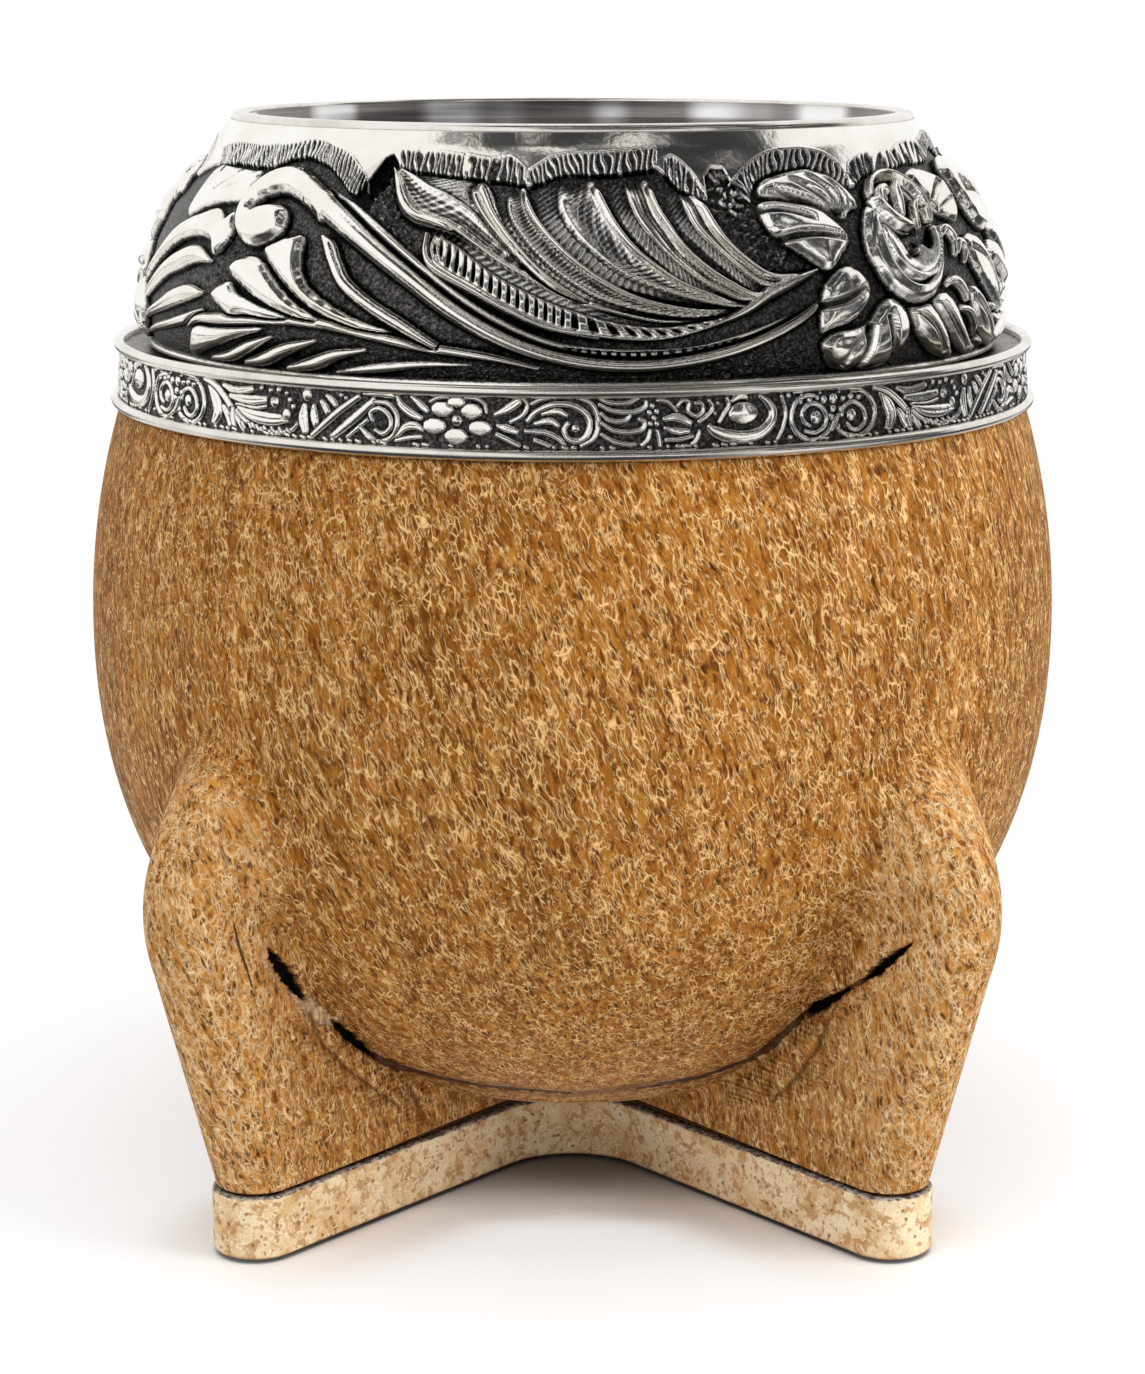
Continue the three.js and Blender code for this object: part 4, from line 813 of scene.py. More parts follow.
def grid_mesh(name, points, close_rows=False, attributes=None, material=None, flip=False):
    """A smooth mesh from points[row, column, xyz], closed along its columns."""
    rows, columns = points.shape[:2]
    mesh = bpy.data.meshes.new(name)
    mesh.vertices.add(rows * columns)
    mesh.vertices.foreach_set("co", (points.reshape(-1, 3) * MM).astype(np.float32).ravel())
    i = np.arange(rows if close_rows else rows - 1)[:, None]
    j = np.arange(columns)[None, :]
    a = i * columns + j
    b = i * columns + (j + 1) % columns
    c = ((i + 1) % rows) * columns + (j + 1) % columns
    d = ((i + 1) % rows) * columns + j
    quads = np.stack([a, d, c, b] if flip else [a, b, c, d], -1).reshape(-1, 4)
    mesh.loops.add(quads.size)
    mesh.loops.foreach_set("vertex_index", quads.ravel().astype(np.int32))
    mesh.polygons.add(len(quads))
    mesh.polygons.foreach_set("loop_start", (np.arange(len(quads)) * 4).astype(np.int32))
    mesh.update(calc_edges=True)
    mesh.shade_smooth()
    for key, values in (attributes or {}).items():
        data = mesh.attributes.new(key, "FLOAT", "POINT").data
        data.foreach_set("value", values.astype(np.float32).ravel())
    piece = bpy.data.objects.new(name, mesh)
    bpy.context.scene.collection.objects.link(piece)
    mesh.materials.append(material)
    return piece


def round_about(r, z, phi):
    """Points at those radii, heights and angles from the front."""
    return np.stack([r * np.sin(phi), -r * np.cos(phi), z + 0 * phi], -1)


def turned(name, profile, segments, **how):
    """A closed profile of (radius, height) pairs turned about the axis."""
    p = np.array(profile, float)
    phi = np.linspace(0, FULL_TURN, segments, endpoint=False)
    return grid_mesh(name, round_about(p[:, :1], p[:, 1:], phi), close_rows=True, **how)


def arc(centre, radius, start, finish, count):
    """Points of a circle's arc, angles in degrees."""
    a = np.radians(np.linspace(start, finish, count))
    return [(centre[0] + radius * math.cos(t), centre[1] + radius * math.sin(t)) for t in a]


def travel(line):
    """How far along a line each of its points is."""
    return np.concatenate([[0], np.cumsum(np.hypot(*np.diff(line, axis=0).T))])


def settle(piece, node):
    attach(piece, "root")
    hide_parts(node)


# Shaders.


class Shader:
    """A node material, written as nested calls."""

    def __init__(self, name, tree=None):
        if tree is None:
            self.material = bpy.data.materials.new(name)
            self.material.use_nodes = True
            tree = self.material.node_tree
        self.tree = tree
        tree.nodes.clear()

    def node(self, kind, inputs=None, output=0, **settings):
        made = self.tree.nodes.new("ShaderNode" + kind)
        for key, value in settings.items():
            setattr(made, key, value)
        for key, value in (inputs or {}).items():
            if isinstance(value, bpy.types.NodeSocket):
                self.tree.links.new(value, made.inputs[key])
            else:
                made.inputs[key].default_value = value
        return made.outputs[output] if len(made.outputs) else None

    def place(self, scale=(1, 1, 1)):
        """The point on the object, in millimetres, scaled."""
        here = self.node("TexCoord", output="Object")
        return self.node("Mapping", {"Vector": here, "Scale": tuple(s / MM for s in scale)})

    def warped(self, where, scale, amount):
        """A place pushed about by soft noise."""
        swirl = self.node("TexNoise", {"Vector": where, "Scale": scale, "Detail": 2.0}, output="Color")
        centred = self.node("VectorMath", {0: swirl, 1: (0.5, 0.5, 0.5)}, operation="SUBTRACT")
        push = self.node("VectorMath", {0: centred, "Scale": amount}, operation="SCALE")
        return self.node("VectorMath", {0: where, 1: push}, operation="ADD")

    def noise(self, where, scale, detail=3.0, roughness=0.55):
        inputs = {"Vector": where, "Scale": scale, "Detail": detail, "Roughness": roughness}
        return self.node("TexNoise", inputs)

    def cells(self, where, scale, feature="F1"):
        return self.node("TexVoronoi", {"Vector": where, "Scale": scale}, feature=feature)

    def net(self, where, scale, thick):
        """The lines between cells."""
        return self.span(self.cells(where, scale, "DISTANCE_TO_EDGE"), 0.0, thick, 1.0, 0.0)

    def worms(self, where, scale, thick):
        """Thin wandering lines: where soft noise crosses its middle value."""
        level = self.math("ABSOLUTE", self.minus(self.noise(where, scale, 1.5, 0.5), 0.5))
        return self.span(level, 0.0, thick, 1.0, 0.0)

    def pits(self, where, scale, span, patches):
        """Small round pits, in patches."""
        return self.times(self.span(self.cells(where, scale), *span, 1.0, 0.0), patches)

    def math(self, operation, a, b=0.5):
        return self.node("Math", {0: a, 1: b}, operation=operation)

    def times(self, a, b):
        return self.math("MULTIPLY", a, b)

    def plus(self, a, b):
        return self.math("ADD", a, b)

    def minus(self, a, b):
        return self.math("SUBTRACT", a, b)

    def sway(self, value, amount):
        """Noise about its middle value, scaled."""
        return self.times(self.minus(value, 0.5), amount)

    def span(self, value, low, high, to_low=0.0, to_high=1.0):
        inputs = {"Value": value, "From Min": low, "From Max": high, "To Min": to_low, "To Max": to_high}
        return self.node("MapRange", inputs, interpolation_type="SMOOTHSTEP")

    def mix(self, share, a, b):
        made = self.tree.nodes.new("ShaderNodeMix")
        made.data_type = "RGBA"
        for key, value in ((0, share), (6, a), (7, b)):
            if isinstance(value, bpy.types.NodeSocket):
                self.tree.links.new(value, made.inputs[key])
            else:
                made.inputs[key].default_value = value if key == 0 else (*value, 1)
        return made.outputs[2]

    def attribute(self, name):
        return self.node("Attribute", output="Fac", attribute_name=name)

    def bump(self, height, distance, strength=1.0, normal=None):
        inputs = {"Height": height, "Distance": distance * MM, "Strength": strength}
        if normal:
            inputs["Normal"] = normal
        return self.node("Bump", inputs)

    def surface(self, colour, roughness, normal, **more):
        """The finished material."""
        inputs = {"Base Color": colour, "Roughness": roughness, "Normal": normal}
        inputs.update({key.replace("_", " "): value for key, value in more.items()})
        self.node("OutputMaterial", {"Surface": self.node("BsdfPrincipled", inputs)})
        return self.material


def screen(red, green, blue):
    """A screen colour as the shader's linear one."""
    shares = (c / 255 for c in (red, green, blue))
    return tuple(((c + 0.055) / 1.055) ** 2.4 if c > 0.04 else c / 12.92 for c in shares)


def polished_silver():
    s = Shader("silver_polished")
    here = s.place()
    tarnish = s.noise(here, 0.16, 4.0, 0.6)
    shade = s.mix(s.span(tarnish, 0.35, 0.7), (0.86, 0.83, 0.78), (0.70, 0.66, 0.60))
    specks = s.span(s.noise(here, 2.2, 5.0, 0.75), 0.66, 0.74)
    shade = s.mix(specks, shade, (0.30, 0.27, 0.24))
    scratches = s.noise(s.place((0.7, 0.7, 6.0)), 1.0, 4.0, 0.7)
    rough = s.span(tarnish, 0.3, 0.7, 0.14, 0.24)
    return s.surface(shade, rough, s.bump(scratches, 0.012, 0.5), Metallic=1.0)


def chased_silver():
    """Bright on the worked highs and black with oxide down in the ground."""
    s = Shader("silver_chased")
    here = s.place()
    level = s.plus(s.attribute("bright"), s.sway(s.noise(here, 1.3, 4.0, 0.65), 0.42))
    level = s.plus(level, s.sway(s.noise(here, 5.0, 3.0, 0.6), 0.3))
    clean = s.span(level, 0.1, 0.66)
    warm = s.mix(s.span(s.noise(here, 0.22, 2.0), 0.35, 0.65), (0.96, 0.94, 0.90), (0.90, 0.86, 0.79))
    oxide = s.span(s.noise(here, 3.2, 4.0, 0.7), 0.42, 0.68)
    black = s.mix(oxide, (0.035, 0.033, 0.031), (0.19, 0.18, 0.168))
    black = s.mix(s.span(level, -0.3, 0.02), (0.002, 0.002, 0.002), black)
    rough = s.span(level, 0.15, 0.8, 0.42, 0.15)
    stipple = s.span(s.cells(s.warped(here, 1.5, 0.4), 3.6), 0.1, 0.62)
    dents = s.bump(s.noise(here, 0.9, 3.0), 0.05, 0.6)
    pits = s.times(stipple, s.minus(1.0, clean))
    return s.surface(s.mix(clean, black, warm), rough, s.bump(pits, 0.09, 0.8, dents), Metallic=1.0)


def spun_steel():
    """Turning marks all round, with painted bands of highlight down the wall."""
    s = Shader("cup_steel")
    turning = s.noise(s.place((0.05, 0.05, 5.0)), 1.6, 5.0, 0.7)
    shade = s.mix(s.span(turning, 0.3, 0.7), (0.22, 0.202, 0.192), (0.32, 0.297, 0.283))
    # Painted highlights: pale bands down the wall, in the base colour, stand in for reflections of the lamps.
    light = s.span(s.noise(s.place((0.09, 0.09, 0.0)), 1.0, 1.0), 0.5, 0.66)
    shade = s.mix(light, shade, (0.97, 0.96, 0.95))
    tangent = s.node("Tangent", direction_type="RADIAL", axis="Z")
    return s.surface(shade, 0.34, s.bump(turning, 0.01, 0.5), Metallic=1.0, Anisotropic=0.7, Tangent=tangent)


def hide_leather():
    """Ochre hide: pale veins and short fibres over brown, small pits, and the marks of its seam, with painted
    shade in its folds and slits.
    """
    s = Shader("hide")
    still = s.place()
    here = s.warped(s.warped(still, 0.3, 1.2), 1.2, 0.22)
    x, y, z = (s.node("SeparateXYZ", {0: here}, output=k) for k in range(3))
    leaning = s.node("CombineXYZ", {0: s.plus(x, s.times(z, 0.34)), 1: y, 2: s.times(z, 0.3)})
    squat = s.node("VectorMath", {0: here, 1: (1.0, 1.0, 0.75)}, operation="MULTIPLY")
    on_leg = s.attribute("leg")

    # The brown ground.
    mottle = s.noise(s.place((1.0, 1.0, 0.22)), 0.13, 3.0, 0.5)
    streaks = s.noise(s.place((1.0, 1.0, 0.06)), 0.8, 3.0, 0.6)
    blotch = s.noise(s.place((1.0, 1.0, 0.3)), 0.8, 4.0, 0.65)
    grain = s.noise(leaning, 2.4, 3.0, 0.7)
    ground = s.mix(s.span(mottle, 0.3, 0.7), screen(135, 80, 17), screen(165, 101, 28))
    ground = s.mix(s.times(s.span(blotch, 0.48, 0.7), 0.6), ground, screen(200, 138, 62))
    ground = s.mix(s.span(streaks, 0.5, 0.68, 0.0, 0.55), ground, screen(202, 140, 60))
    ground = s.mix(s.times(on_leg, 0.5), ground, screen(222, 158, 80))
    ground = s.mix(s.times(s.span(grain, 0.56, 0.36), 0.9), ground, screen(92, 46, 8))

    # Pale lines, broken up, and an open net on the legs.
    breaks = s.noise(leaning, 1.1, 2.0, 0.6)
    veins = s.times(s.net(leaning, 2.05, 0.15), s.span(breaks, 0.44, 0.62))
    fibres = s.times(s.worms(leaning, 2.9, 0.08), s.span(s.noise(leaning, 1.5, 2.0), 0.42, 0.58))
    web = s.times(s.net(squat, 1.2, 0.14), s.span(breaks, 0.34, 0.56))
    web = s.times(web, s.times(on_leg, 0.62))
    lines = s.math("MAXIMUM", s.math("MAXIMUM", veins, s.times(fibres, 0.8)), web)
    pale = s.mix(on_leg, screen(246, 201, 136), screen(250, 216, 164))
    shade = s.mix(s.times(lines, 0.94), ground, pale)
    pits = s.pits(leaning, 1.35, (0.08, 0.3), s.span(s.noise(here, 0.6), 0.44, 0.56))
    shade = s.mix(s.times(pits, 0.85), shade, screen(66, 32, 8))

    # The seam: torn flake, folds darkened with painted shade and dirt, cracks with pale lips, and open slits,
    # made as dents with painted shade: brown round their edges, near black inside.
    rag = s.sway(s.noise(still, 1.8, 4.0, 0.7), 0.9)
    flake = s.span(s.plus(s.attribute("flake"), s.times(rag, 1.5)), 0.05, 0.3)
    torn = s.mix(s.span(grain, 0.4, 0.6), screen(176, 138, 98), screen(222, 190, 150))
    shade = s.mix(flake, shade, torn)
    fold = s.attribute("fold")
    # Painted shade and dirt darken the folds.
    shade = s.mix(s.times(s.span(fold, 0.0, 1.0), 0.7), shade, screen(92, 50, 14))
    crack = s.plus(s.attribute("crack"), rag)
    lips = s.times(s.span(crack, -0.9, -0.1), s.span(breaks, 0.48, 0.56, 0.0, 0.55))
    shade = s.mix(lips, shade, screen(206, 164, 112))
    shade = s.mix(s.times(s.span(crack, 0.0, 0.35), 0.85), shade, screen(52, 26, 8))
    gash = s.plus(s.attribute("gash"), s.times(rag, 0.9))
    # Painted shade: brown beside each slit's edge, near black down inside it.
    shade = s.mix(s.span(gash, -0.5, 0.0, 0.0, 0.75), shade, screen(96, 54, 20))
    dark = s.mix(s.span(gash, 0.1, 0.45), screen(44, 22, 8), (0.003, 0.002, 0.001))
    shade = s.mix(s.span(gash, 0.0, 0.12), shade, dark)

    relief = s.plus(s.times(lines, 0.55), s.times(s.minus(grain, pits), 0.55))
    sunken = s.plus(s.times(s.span(crack, 0.0, 0.4), 1.5), fold)
    relief = s.minus(s.plus(relief, flake), sunken)
    return s.surface(shade, 0.62, s.bump(relief, 0.2, 0.9), Specular_IOR_Level=0.1)


def pale_strip():
    """Raw cream edge with tan curls and pits, dirty along its cut top."""
    s = Shader("pale_hide")
    still = s.place()
    here = s.warped(still, 0.5, 0.9)
    blotch = s.noise(still, 0.22, 4.0, 0.6)
    grain = s.noise(here, 1.9, 3.0, 0.65)
    shade = s.mix(s.span(blotch, 0.36, 0.66), screen(240, 218, 178), screen(220, 180, 124))
    tan = s.span(s.noise(here, 0.75, 4.0, 0.65), 0.47, 0.6)
    shade = s.mix(s.times(tan, 0.75), shade, screen(184, 130, 68))
    veins = s.times(s.worms(here, 1.5, 0.06), s.span(s.noise(here, 0.5), 0.36, 0.56))
    shade = s.mix(s.times(veins, 0.7), shade, screen(252, 240, 214))
    pits = s.pits(here, 1.3, (0.1, 0.3), s.span(s.noise(here, 0.4), 0.4, 0.54))
    shade = s.mix(s.times(pits, 0.8), shade, screen(132, 80, 32))
    height = s.node("SeparateXYZ", {"Vector": still}, output=2)
    top = s.plus(height, s.sway(s.noise(still, 0.9, 4.0, 0.7), 0.5))
    dirt = s.mix(s.span(grain, 0.4, 0.6), screen(92, 84, 76), screen(190, 182, 172))
    shade = s.mix(s.span(top, 6.02, 6.12), shade, dirt)
    shade = s.mix(s.span(top, 0.75, 0.5, 0.0, 0.6), shade, screen(150, 96, 44))
    return s.surface(shade, 0.62, s.bump(s.minus(grain, pits), 0.12, 0.7), Specular_IOR_Level=0.3)


def plain(name, low, high, roughness, scale=(0.6, 0.6, 0.6)):
    """A dull two-tone material for what is hidden or in shadow."""
    s = Shader(name)
    grain = s.noise(s.place(scale), 1.0, 4.0, 0.6)
    shade = s.mix(s.span(grain, 0.35, 0.65), screen(*low), screen(*high))
    return s.surface(shade, roughness, s.bump(grain, 0.1, 0.5), Metallic=0.0)


# The forms, from the same sizes as the frame's.

BODY_RADIUS, WAIST, UPPER_AXIS, LOWER_AXIS, LOWER_POWER = 46.0, 52.7, 57.1, 46.9, 2.18
LEG_ANGLE = math.radians(48)
LEG_END, KNEE, LEG_TOP = 46.2, 27.5, 50.0
HIDE_BOTTOM, HIDE_TOP, HIDE_ROWS = 6.6, 73.58, 460
STRIP_BOTTOM, STRIP_TOP, STRIP_ROUND, STRIP_THICK = 0.4, 6.2, 0.28, 1.15
FOOT_REACH, FOOT_HALF, FOOT_BEND = 46.7, 4.0, 8.0
BEAD_WIRE = 0.5
LOWER_BEAD, UPPER_BEAD = 74.2, 79.4
RIM_HEIGHT, MOUTH_RADIUS, RIM_WIDTH = 100.5, 30.04, 1.72
CUP_WALL, CUP_TAPER, CUP_STRAIGHT, CUP_BOWL = 0.8, 0.6, 50, 24


def body_radius(z):
    axis = np.where(z > WAIST, UPPER_AXIS, LOWER_AXIS)
    power = np.where(z > WAIST, 2.0, LOWER_POWER)
    return BODY_RADIUS * (1 - np.clip(np.abs(z - WAIST) / axis, 0, 1) ** power) ** (1 / power)


LOWER_RADIUS = float(body_radius(np.array(LOWER_BEAD))) + BEAD_WIRE
UPPER_RADIUS = LOWER_RADIUS - 0.4


def bezier(points, count=400):
    t = np.linspace(0, 1, count)[:, None]
    a, b, c, d = np.array(points, float)
    return a * (1 - t) ** 3 + 3 * b * t * (1 - t) ** 2 + 3 * c * t**2 * (1 - t) + d * t**3


SHOULDER = bezier([(52.6, KNEE), (55, 34), (53.9, 40), (44, LEG_TOP)])


def leg_reach(z):
    """How far out a leg's end is at each height: sloping, then rounded over into the body."""
    low = LEG_END + (z - STRIP_TOP) / (KNEE - STRIP_TOP) * 6.4
    high = np.interp(z, SHOULDER[:, 1], SHOULDER[:, 0])
    return np.where(z < KNEE, low, np.where(z < LEG_TOP, high, body_radius(z) - 2))


def leg_half(z):
    return 3.7 + np.clip((z - STRIP_TOP) / (KNEE - STRIP_TOP), 0, 1) * 0.5


def half_outlines(round_, half, reach, blend, gap, counts):
    """The hide's rows from the middle of a leg's end to the middle of the gap beside it, as angles
    and radii."""
    tip, side, flank = counts
    centre = reach - half
    b = np.linspace(0, np.pi / 2, tip)[None, :]
    cap = np.arctan2(half[:, None] * np.sin(b), centre[:, None] + half[:, None] * np.cos(b))
    crease = np.arcsin(np.clip(half / round_, 0, math.sin(gap / 2)))
    inner = np.minimum(half / np.tan(crease), centre)
    x = centre[:, None] + (inner - centre)[:, None] * np.linspace(0, 1, side + 1)[None, 1:]
    along = np.arctan2(half[:, None] + 0 * x, x)
    past = crease[:, None] + (gap - crease)[:, None] * np.linspace(0, 1, flank + 1)[None, 1:]
    angle = np.maximum.accumulate(np.concatenate([cap, along, past], 1), axis=1)
    low, high = np.zeros_like(angle), np.full_like(angle, 110.0)
    for _ in range(30):
        r = (low + high) / 2
        u, v = r * np.cos(angle), r * np.sin(angle)
        to_leg = np.hypot(u - np.clip(u, 0, centre[:, None]), v) - half[:, None]
        to_body = r - round_[:, None]
        over = np.maximum(blend[:, None] - np.abs(to_body - to_leg), 0)
        inside = np.minimum(to_body, to_leg) - over**2 / (4 * blend[:, None]) < 0
        low, high = np.where(inside, r, low), np.where(inside, high, r)
    return angle, low


def hide_grid(rows, tip, side, front, flank):
    """The hide's outside as points[row, column, xyz], columns anticlockwise from the front left leg."""
    share = np.linspace(0, 1, rows)
    z = HIDE_BOTTOM + (HIDE_TOP - HIDE_BOTTOM) * (0.35 * share**2 + 0.65 * share)
    round_, half, reach = body_radius(z), leg_half(z), leg_reach(z)
    blend = np.minimum(1 + 6 * smooth(z, 29, 37), np.maximum(1, reach - round_))
    form = round_, half, reach, blend
    at_side = half_outlines(*form, LEG_ANGLE, (tip, side, flank))
    at_front = half_outlines(*form, math.pi / 2 - LEG_ANGLE, (tip, side, front))
    legs = ((math.pi + LEG_ANGLE, at_side, at_front), (-LEG_ANGLE, at_front, at_side),
            (LEG_ANGLE, at_side, at_front), (math.pi - LEG_ANGLE, at_front, at_side))
    parts = []
    for turn, (before, r_before), (after, r_after) in legs:
        parts.append(np.stack([turn - before[:, :0:-1], r_before[:, :0:-1]], -1))
        parts.append(np.stack([turn + after[:, :-1], r_after[:, :-1]], -1))
    angle, r = np.moveaxis(np.concatenate(parts, 1), -1, 0)
    return np.stack([r * np.cos(angle), r * np.sin(angle), z[:, None] + 0 * angle], -1)


def grid_normals(points):
    du = np.roll(points, -1, axis=1) - np.roll(points, 1, axis=1)
    dv = np.gradient(points, axis=0)
    n = np.cross(du, dv)
    return n / np.maximum(np.linalg.norm(n, axis=-1, keepdims=True), 1e-9)


# Pieces.


def around(relief):
    """The angle of each of a relief's columns, from the front."""
    return np.radians(np.arange(relief.columns) / relief.per_degree - 180)[None, :]


def hollows(relief, reach):
    """How far each cell lies below what is near it."""
    return np.clip(blurred(relief.height, reach * relief.per_mm, True) - relief.height, 0, 1)


def chased_piece(name, node, outside, phi, bright, back, back_bright, material):
    """A chased sheet: its worked outside, closed by the radii and heights of its plain back."""
    inside = np.array([round_about(r, z, phi[0]) for r, z in back])
    points = np.concatenate([outside, inside], 0)
    bright = np.concatenate([bright, np.full((len(back), bright.shape[1]), back_bright)], 0)
    marks = {"bright": bright}
    piece = grid_mesh(name, points, close_rows=True, attributes=marks, material=material, flip=True)
    settle(piece, node)


def make_collar(material):
    relief = collar_relief()
    across = pairs([31.9, 99.9, 33.86, 97.5, 36.79, 94.5, 39.04, 91.0, 40.6, 87.0, 41.2, 83.0, 40.5, 78.98])
    dense = curve(across, 2000)
    travelled = travel(dense)
    height = relief.height
    s = np.linspace(0, travelled[-1], len(height))
    profile = np.stack([np.interp(s, travelled, dense[:, k]) for k in (0, 1)], 1)
    tangent = np.gradient(profile, axis=0)
    tangent /= np.hypot(tangent[:, 0], tangent[:, 1])[:, None]
    out = np.stack([-tangent[:, 1], tangent[:, 0]], 1)
    drop = NECK + 0.7 * smooth(s, 1.2, 5.5)
    lift = np.maximum(height, NECK * smooth(1.0 - s, 0, 1)[:, None]) - drop[:, None]
    phi = around(relief)
    points = round_about(profile[:, :1] + out[:, :1] * lift, profile[:, 1:] + out[:, 1:] * lift, phi)
    local = height - blurred(height, 1.1 * relief.per_mm, True)
    bright = 0.42 * smooth(height, 0.04, 0.45) + 0.75 * smooth(0.5 * height + 0.8 * local, 0.12, 0.75)
    bright = bright + relief.tone - 1.2 * hollows(relief, 0.42)
    back = [(profile[-1, 0] - 2.0, profile[-1, 1]), (38.6, 86), (36.2, 92), (31.9, 98.2)]
    chased_piece("collar", "collar_shell", points, phi, bright, back, 0.0, material)


def make_band(material):
    relief = frieze_relief()
    phi = around(relief)
    top = UPPER_BEAD + 0.2
    z = top - np.linspace(0, relief.length, len(relief.height))[:, None]
    slope = (LOWER_RADIUS - UPPER_RADIUS) * (top - z) / (top - LOWER_BEAD)
    r = UPPER_RADIUS + slope - 0.25 + relief.height * 0.7
    bright = smooth(relief.height, 0.04, 0.26) + relief.tone - 1.2 * hollows(relief, 0.25)
    ledge, step = UPPER_BEAD - 0.56, UPPER_BEAD - 1.2
    back = [(LOWER_RADIUS - 0.8, LOWER_BEAD + 0.3), (UPPER_RADIUS - 0.8, step), (38.8, step), (38.8, ledge),
            (UPPER_RADIUS - 0.3, ledge)]
    chased_piece("frieze", "frieze_band", round_about(r, z, phi), phi, bright, back, 0.4, material)


def make_bead(name, node, radius, height, material):
    piece = turned(name, arc((radius, height), BEAD_WIRE, 0, 345, 24), 512, material=material)
    settle(piece, node)


def make_rim(material):
    """A thin lip turned over the cup's edge, falling a little to the collar."""
    inner, outer, top = MOUTH_RADIUS + 0.12, MOUTH_RADIUS + RIM_WIDTH, RIM_HEIGHT
    tight, wide = 0.24, 0.5
    crown = arc((inner + tight, top - tight), tight, 180, 90, 8)
    crown += arc((outer - wide, top - wide), wide, 80, 0, 12)
    profile = [(inner, top - 1.8), *crown, (outer, top - 1.8)]
    piece = turned("mouth_rim", profile, 512, material=material, flip=True)
    settle(piece, "mouth_ring")


def make_cup(material):
    """A tapering wall over a rounded bowl, with a band at its mouth."""
    top = RIM_HEIGHT - 0.3

    def bowl(extra):
        radius, deep = MOUTH_RADIUS - CUP_TAPER + extra, CUP_BOWL + extra
        angles = np.linspace(0, math.pi / 2 - 0.004, 40)
        return [(radius * math.cos(a), top - CUP_STRAIGHT - deep * math.sin(a)) for a in angles]

    def wall(extra, shares):
        return [(MOUTH_RADIUS + extra - CUP_TAPER * t, top - CUP_STRAIGHT * t) for t in shares]

    side, outer = wall(0, np.linspace(0, 1, 30)[:-1]), wall(CUP_WALL, np.linspace(1, 0.06, 6))
    band = [(MOUTH_RADIUS + 0.1, top - 2.2), (MOUTH_RADIUS + 0.1, top)]
    piece = turned("cup", [*side, *bowl(0), *bowl(CUP_WALL)[::-1], *outer, *band], 384, material=material)
    settle(piece, "liner_cup")


# The seam's marks on the hide: rows of x, y, z and half width.
SLITS = (
    [-26.5, -35.7, 29.7, 0.07, -26.0, -35.1, 28.5, 0.38, -25.4, -34.45, 27.3, 0.52, -24.7, -33.7, 25.9, 0.55,
     -24.0, -32.85, 24.3, 0.29, -23.8, -32.6, 23.9, 0.09],
    [-21.6, -30.0, 21.1, 0.06, -20.9, -29.2, 20.1, 0.22, -20.2, -28.4, 19.0, 0.3, -19.3, -27.3, 17.7, 0.22,
     -18.0, -25.85, 16.03, 0.05],
    [29.2, -38.7, 31.0, 0.07, 28.2, -37.6, 29.8, 0.29, 27.36, -36.67, 28.73, 0.39, 26.4, -35.6, 27.4, 0.43,
     25.5, -34.55, 26.3, 0.09],
    [24.25, -33.1, 24.98, 0.07, 23.3, -32.0, 23.95, 0.29, 22.42, -30.99, 22.96, 0.38,
     21.5, -29.95, 21.85, 0.29, 20.63, -28.95, 20.75, 0.07],
)
CRACKS = (
    [-18.0, -25.85, 16.03, 0.23, -15.87, -23.41, 13.98, 0.32, -12.16, -23.85, 13.07, 0.23,
     -8.43, -24.96, 12.79, 0.19, -0.14, -25.26, 12.13, 0.12],
    [20.63, -28.95, 20.75, 0.23, 18.13, -26.42, 17.19, 0.36, 16.41, -24.96, 15.32, 0.27,
     11.84, -24.67, 13.47, 0.23, 6.0, -25.2, 12.6, 0.12],
    [25.5, -34.55, 26.3, 0.23, 24.25, -33.1, 24.98, 0.23],
    [-29.22, -38.72, 33.01, 0.06, -28.88, -38.34, 30.81, 0.12, -28.38, -37.78, 28.81, 0.12,
     -27.88, -37.19, 26.52, 0.06],
)
FOLDS = (
    [-21.5, -29.9, 20.9, 0.5, -18.0, -25.85, 16.03, 0.9, -15.87, -23.41, 13.98, 1.0,
     -12.16, -23.85, 13.07, 0.9, -8.43, -24.96, 12.79, 0.8, -0.14, -25.26, 12.13, 0.7],
    [24.2, -33.1, 24.9, 0.5, 20.63, -28.95, 20.75, 0.8, 18.13, -26.42, 17.19, 1.0,
     16.41, -24.96, 15.32, 1.0, 11.84, -24.67, 13.47, 0.9, 0.0, -25.2, 12.1, 0.6],
    [-23.4, -32.1, 22.4, 0.4, -22.4, -31.5, 19.4, 0.34, -20.4, -29.9, 16.4, 0.3, -17.6, -27.8, 13.2, 0.26,
     -15.8, -26.2, 11.2, 0.1],
    [23.2, -31.9, 22.9, 0.1, 22.0, -31.2, 19.0, 0.5, 20.2, -30.0, 15.5, 0.4, 18.4, -28.6, 13.0, 0.1],
    [-15.2, -24.0, 12.6, 0.3, -14.4, -23.6, 10.6, 0.5, -13.4, -23.0, 8.6, 0.1],
)
FLAKES = (
    [-24.5, -33.4, 24.6, 0.5, -23.6, -32.3, 23.2, 0.8, -22.6, -31.2, 21.9, 0.85, -21.6, -30.1, 21.1, 0.5],
)
SCRATCH = (
    [-36.68, -37.46, 48.7, 0.12, -34.2, -40.16, 48.66, 0.14, -31.9, -40.38, 47.84, 0.16,
     -30.94, -40.08, 47.07, 0.14, -30.32, -39.76, 46.11, 0.1],
)
SIGHT = np.array([0, 0.951, -0.309])
FAR = -3.0
MARGIN = 3.0


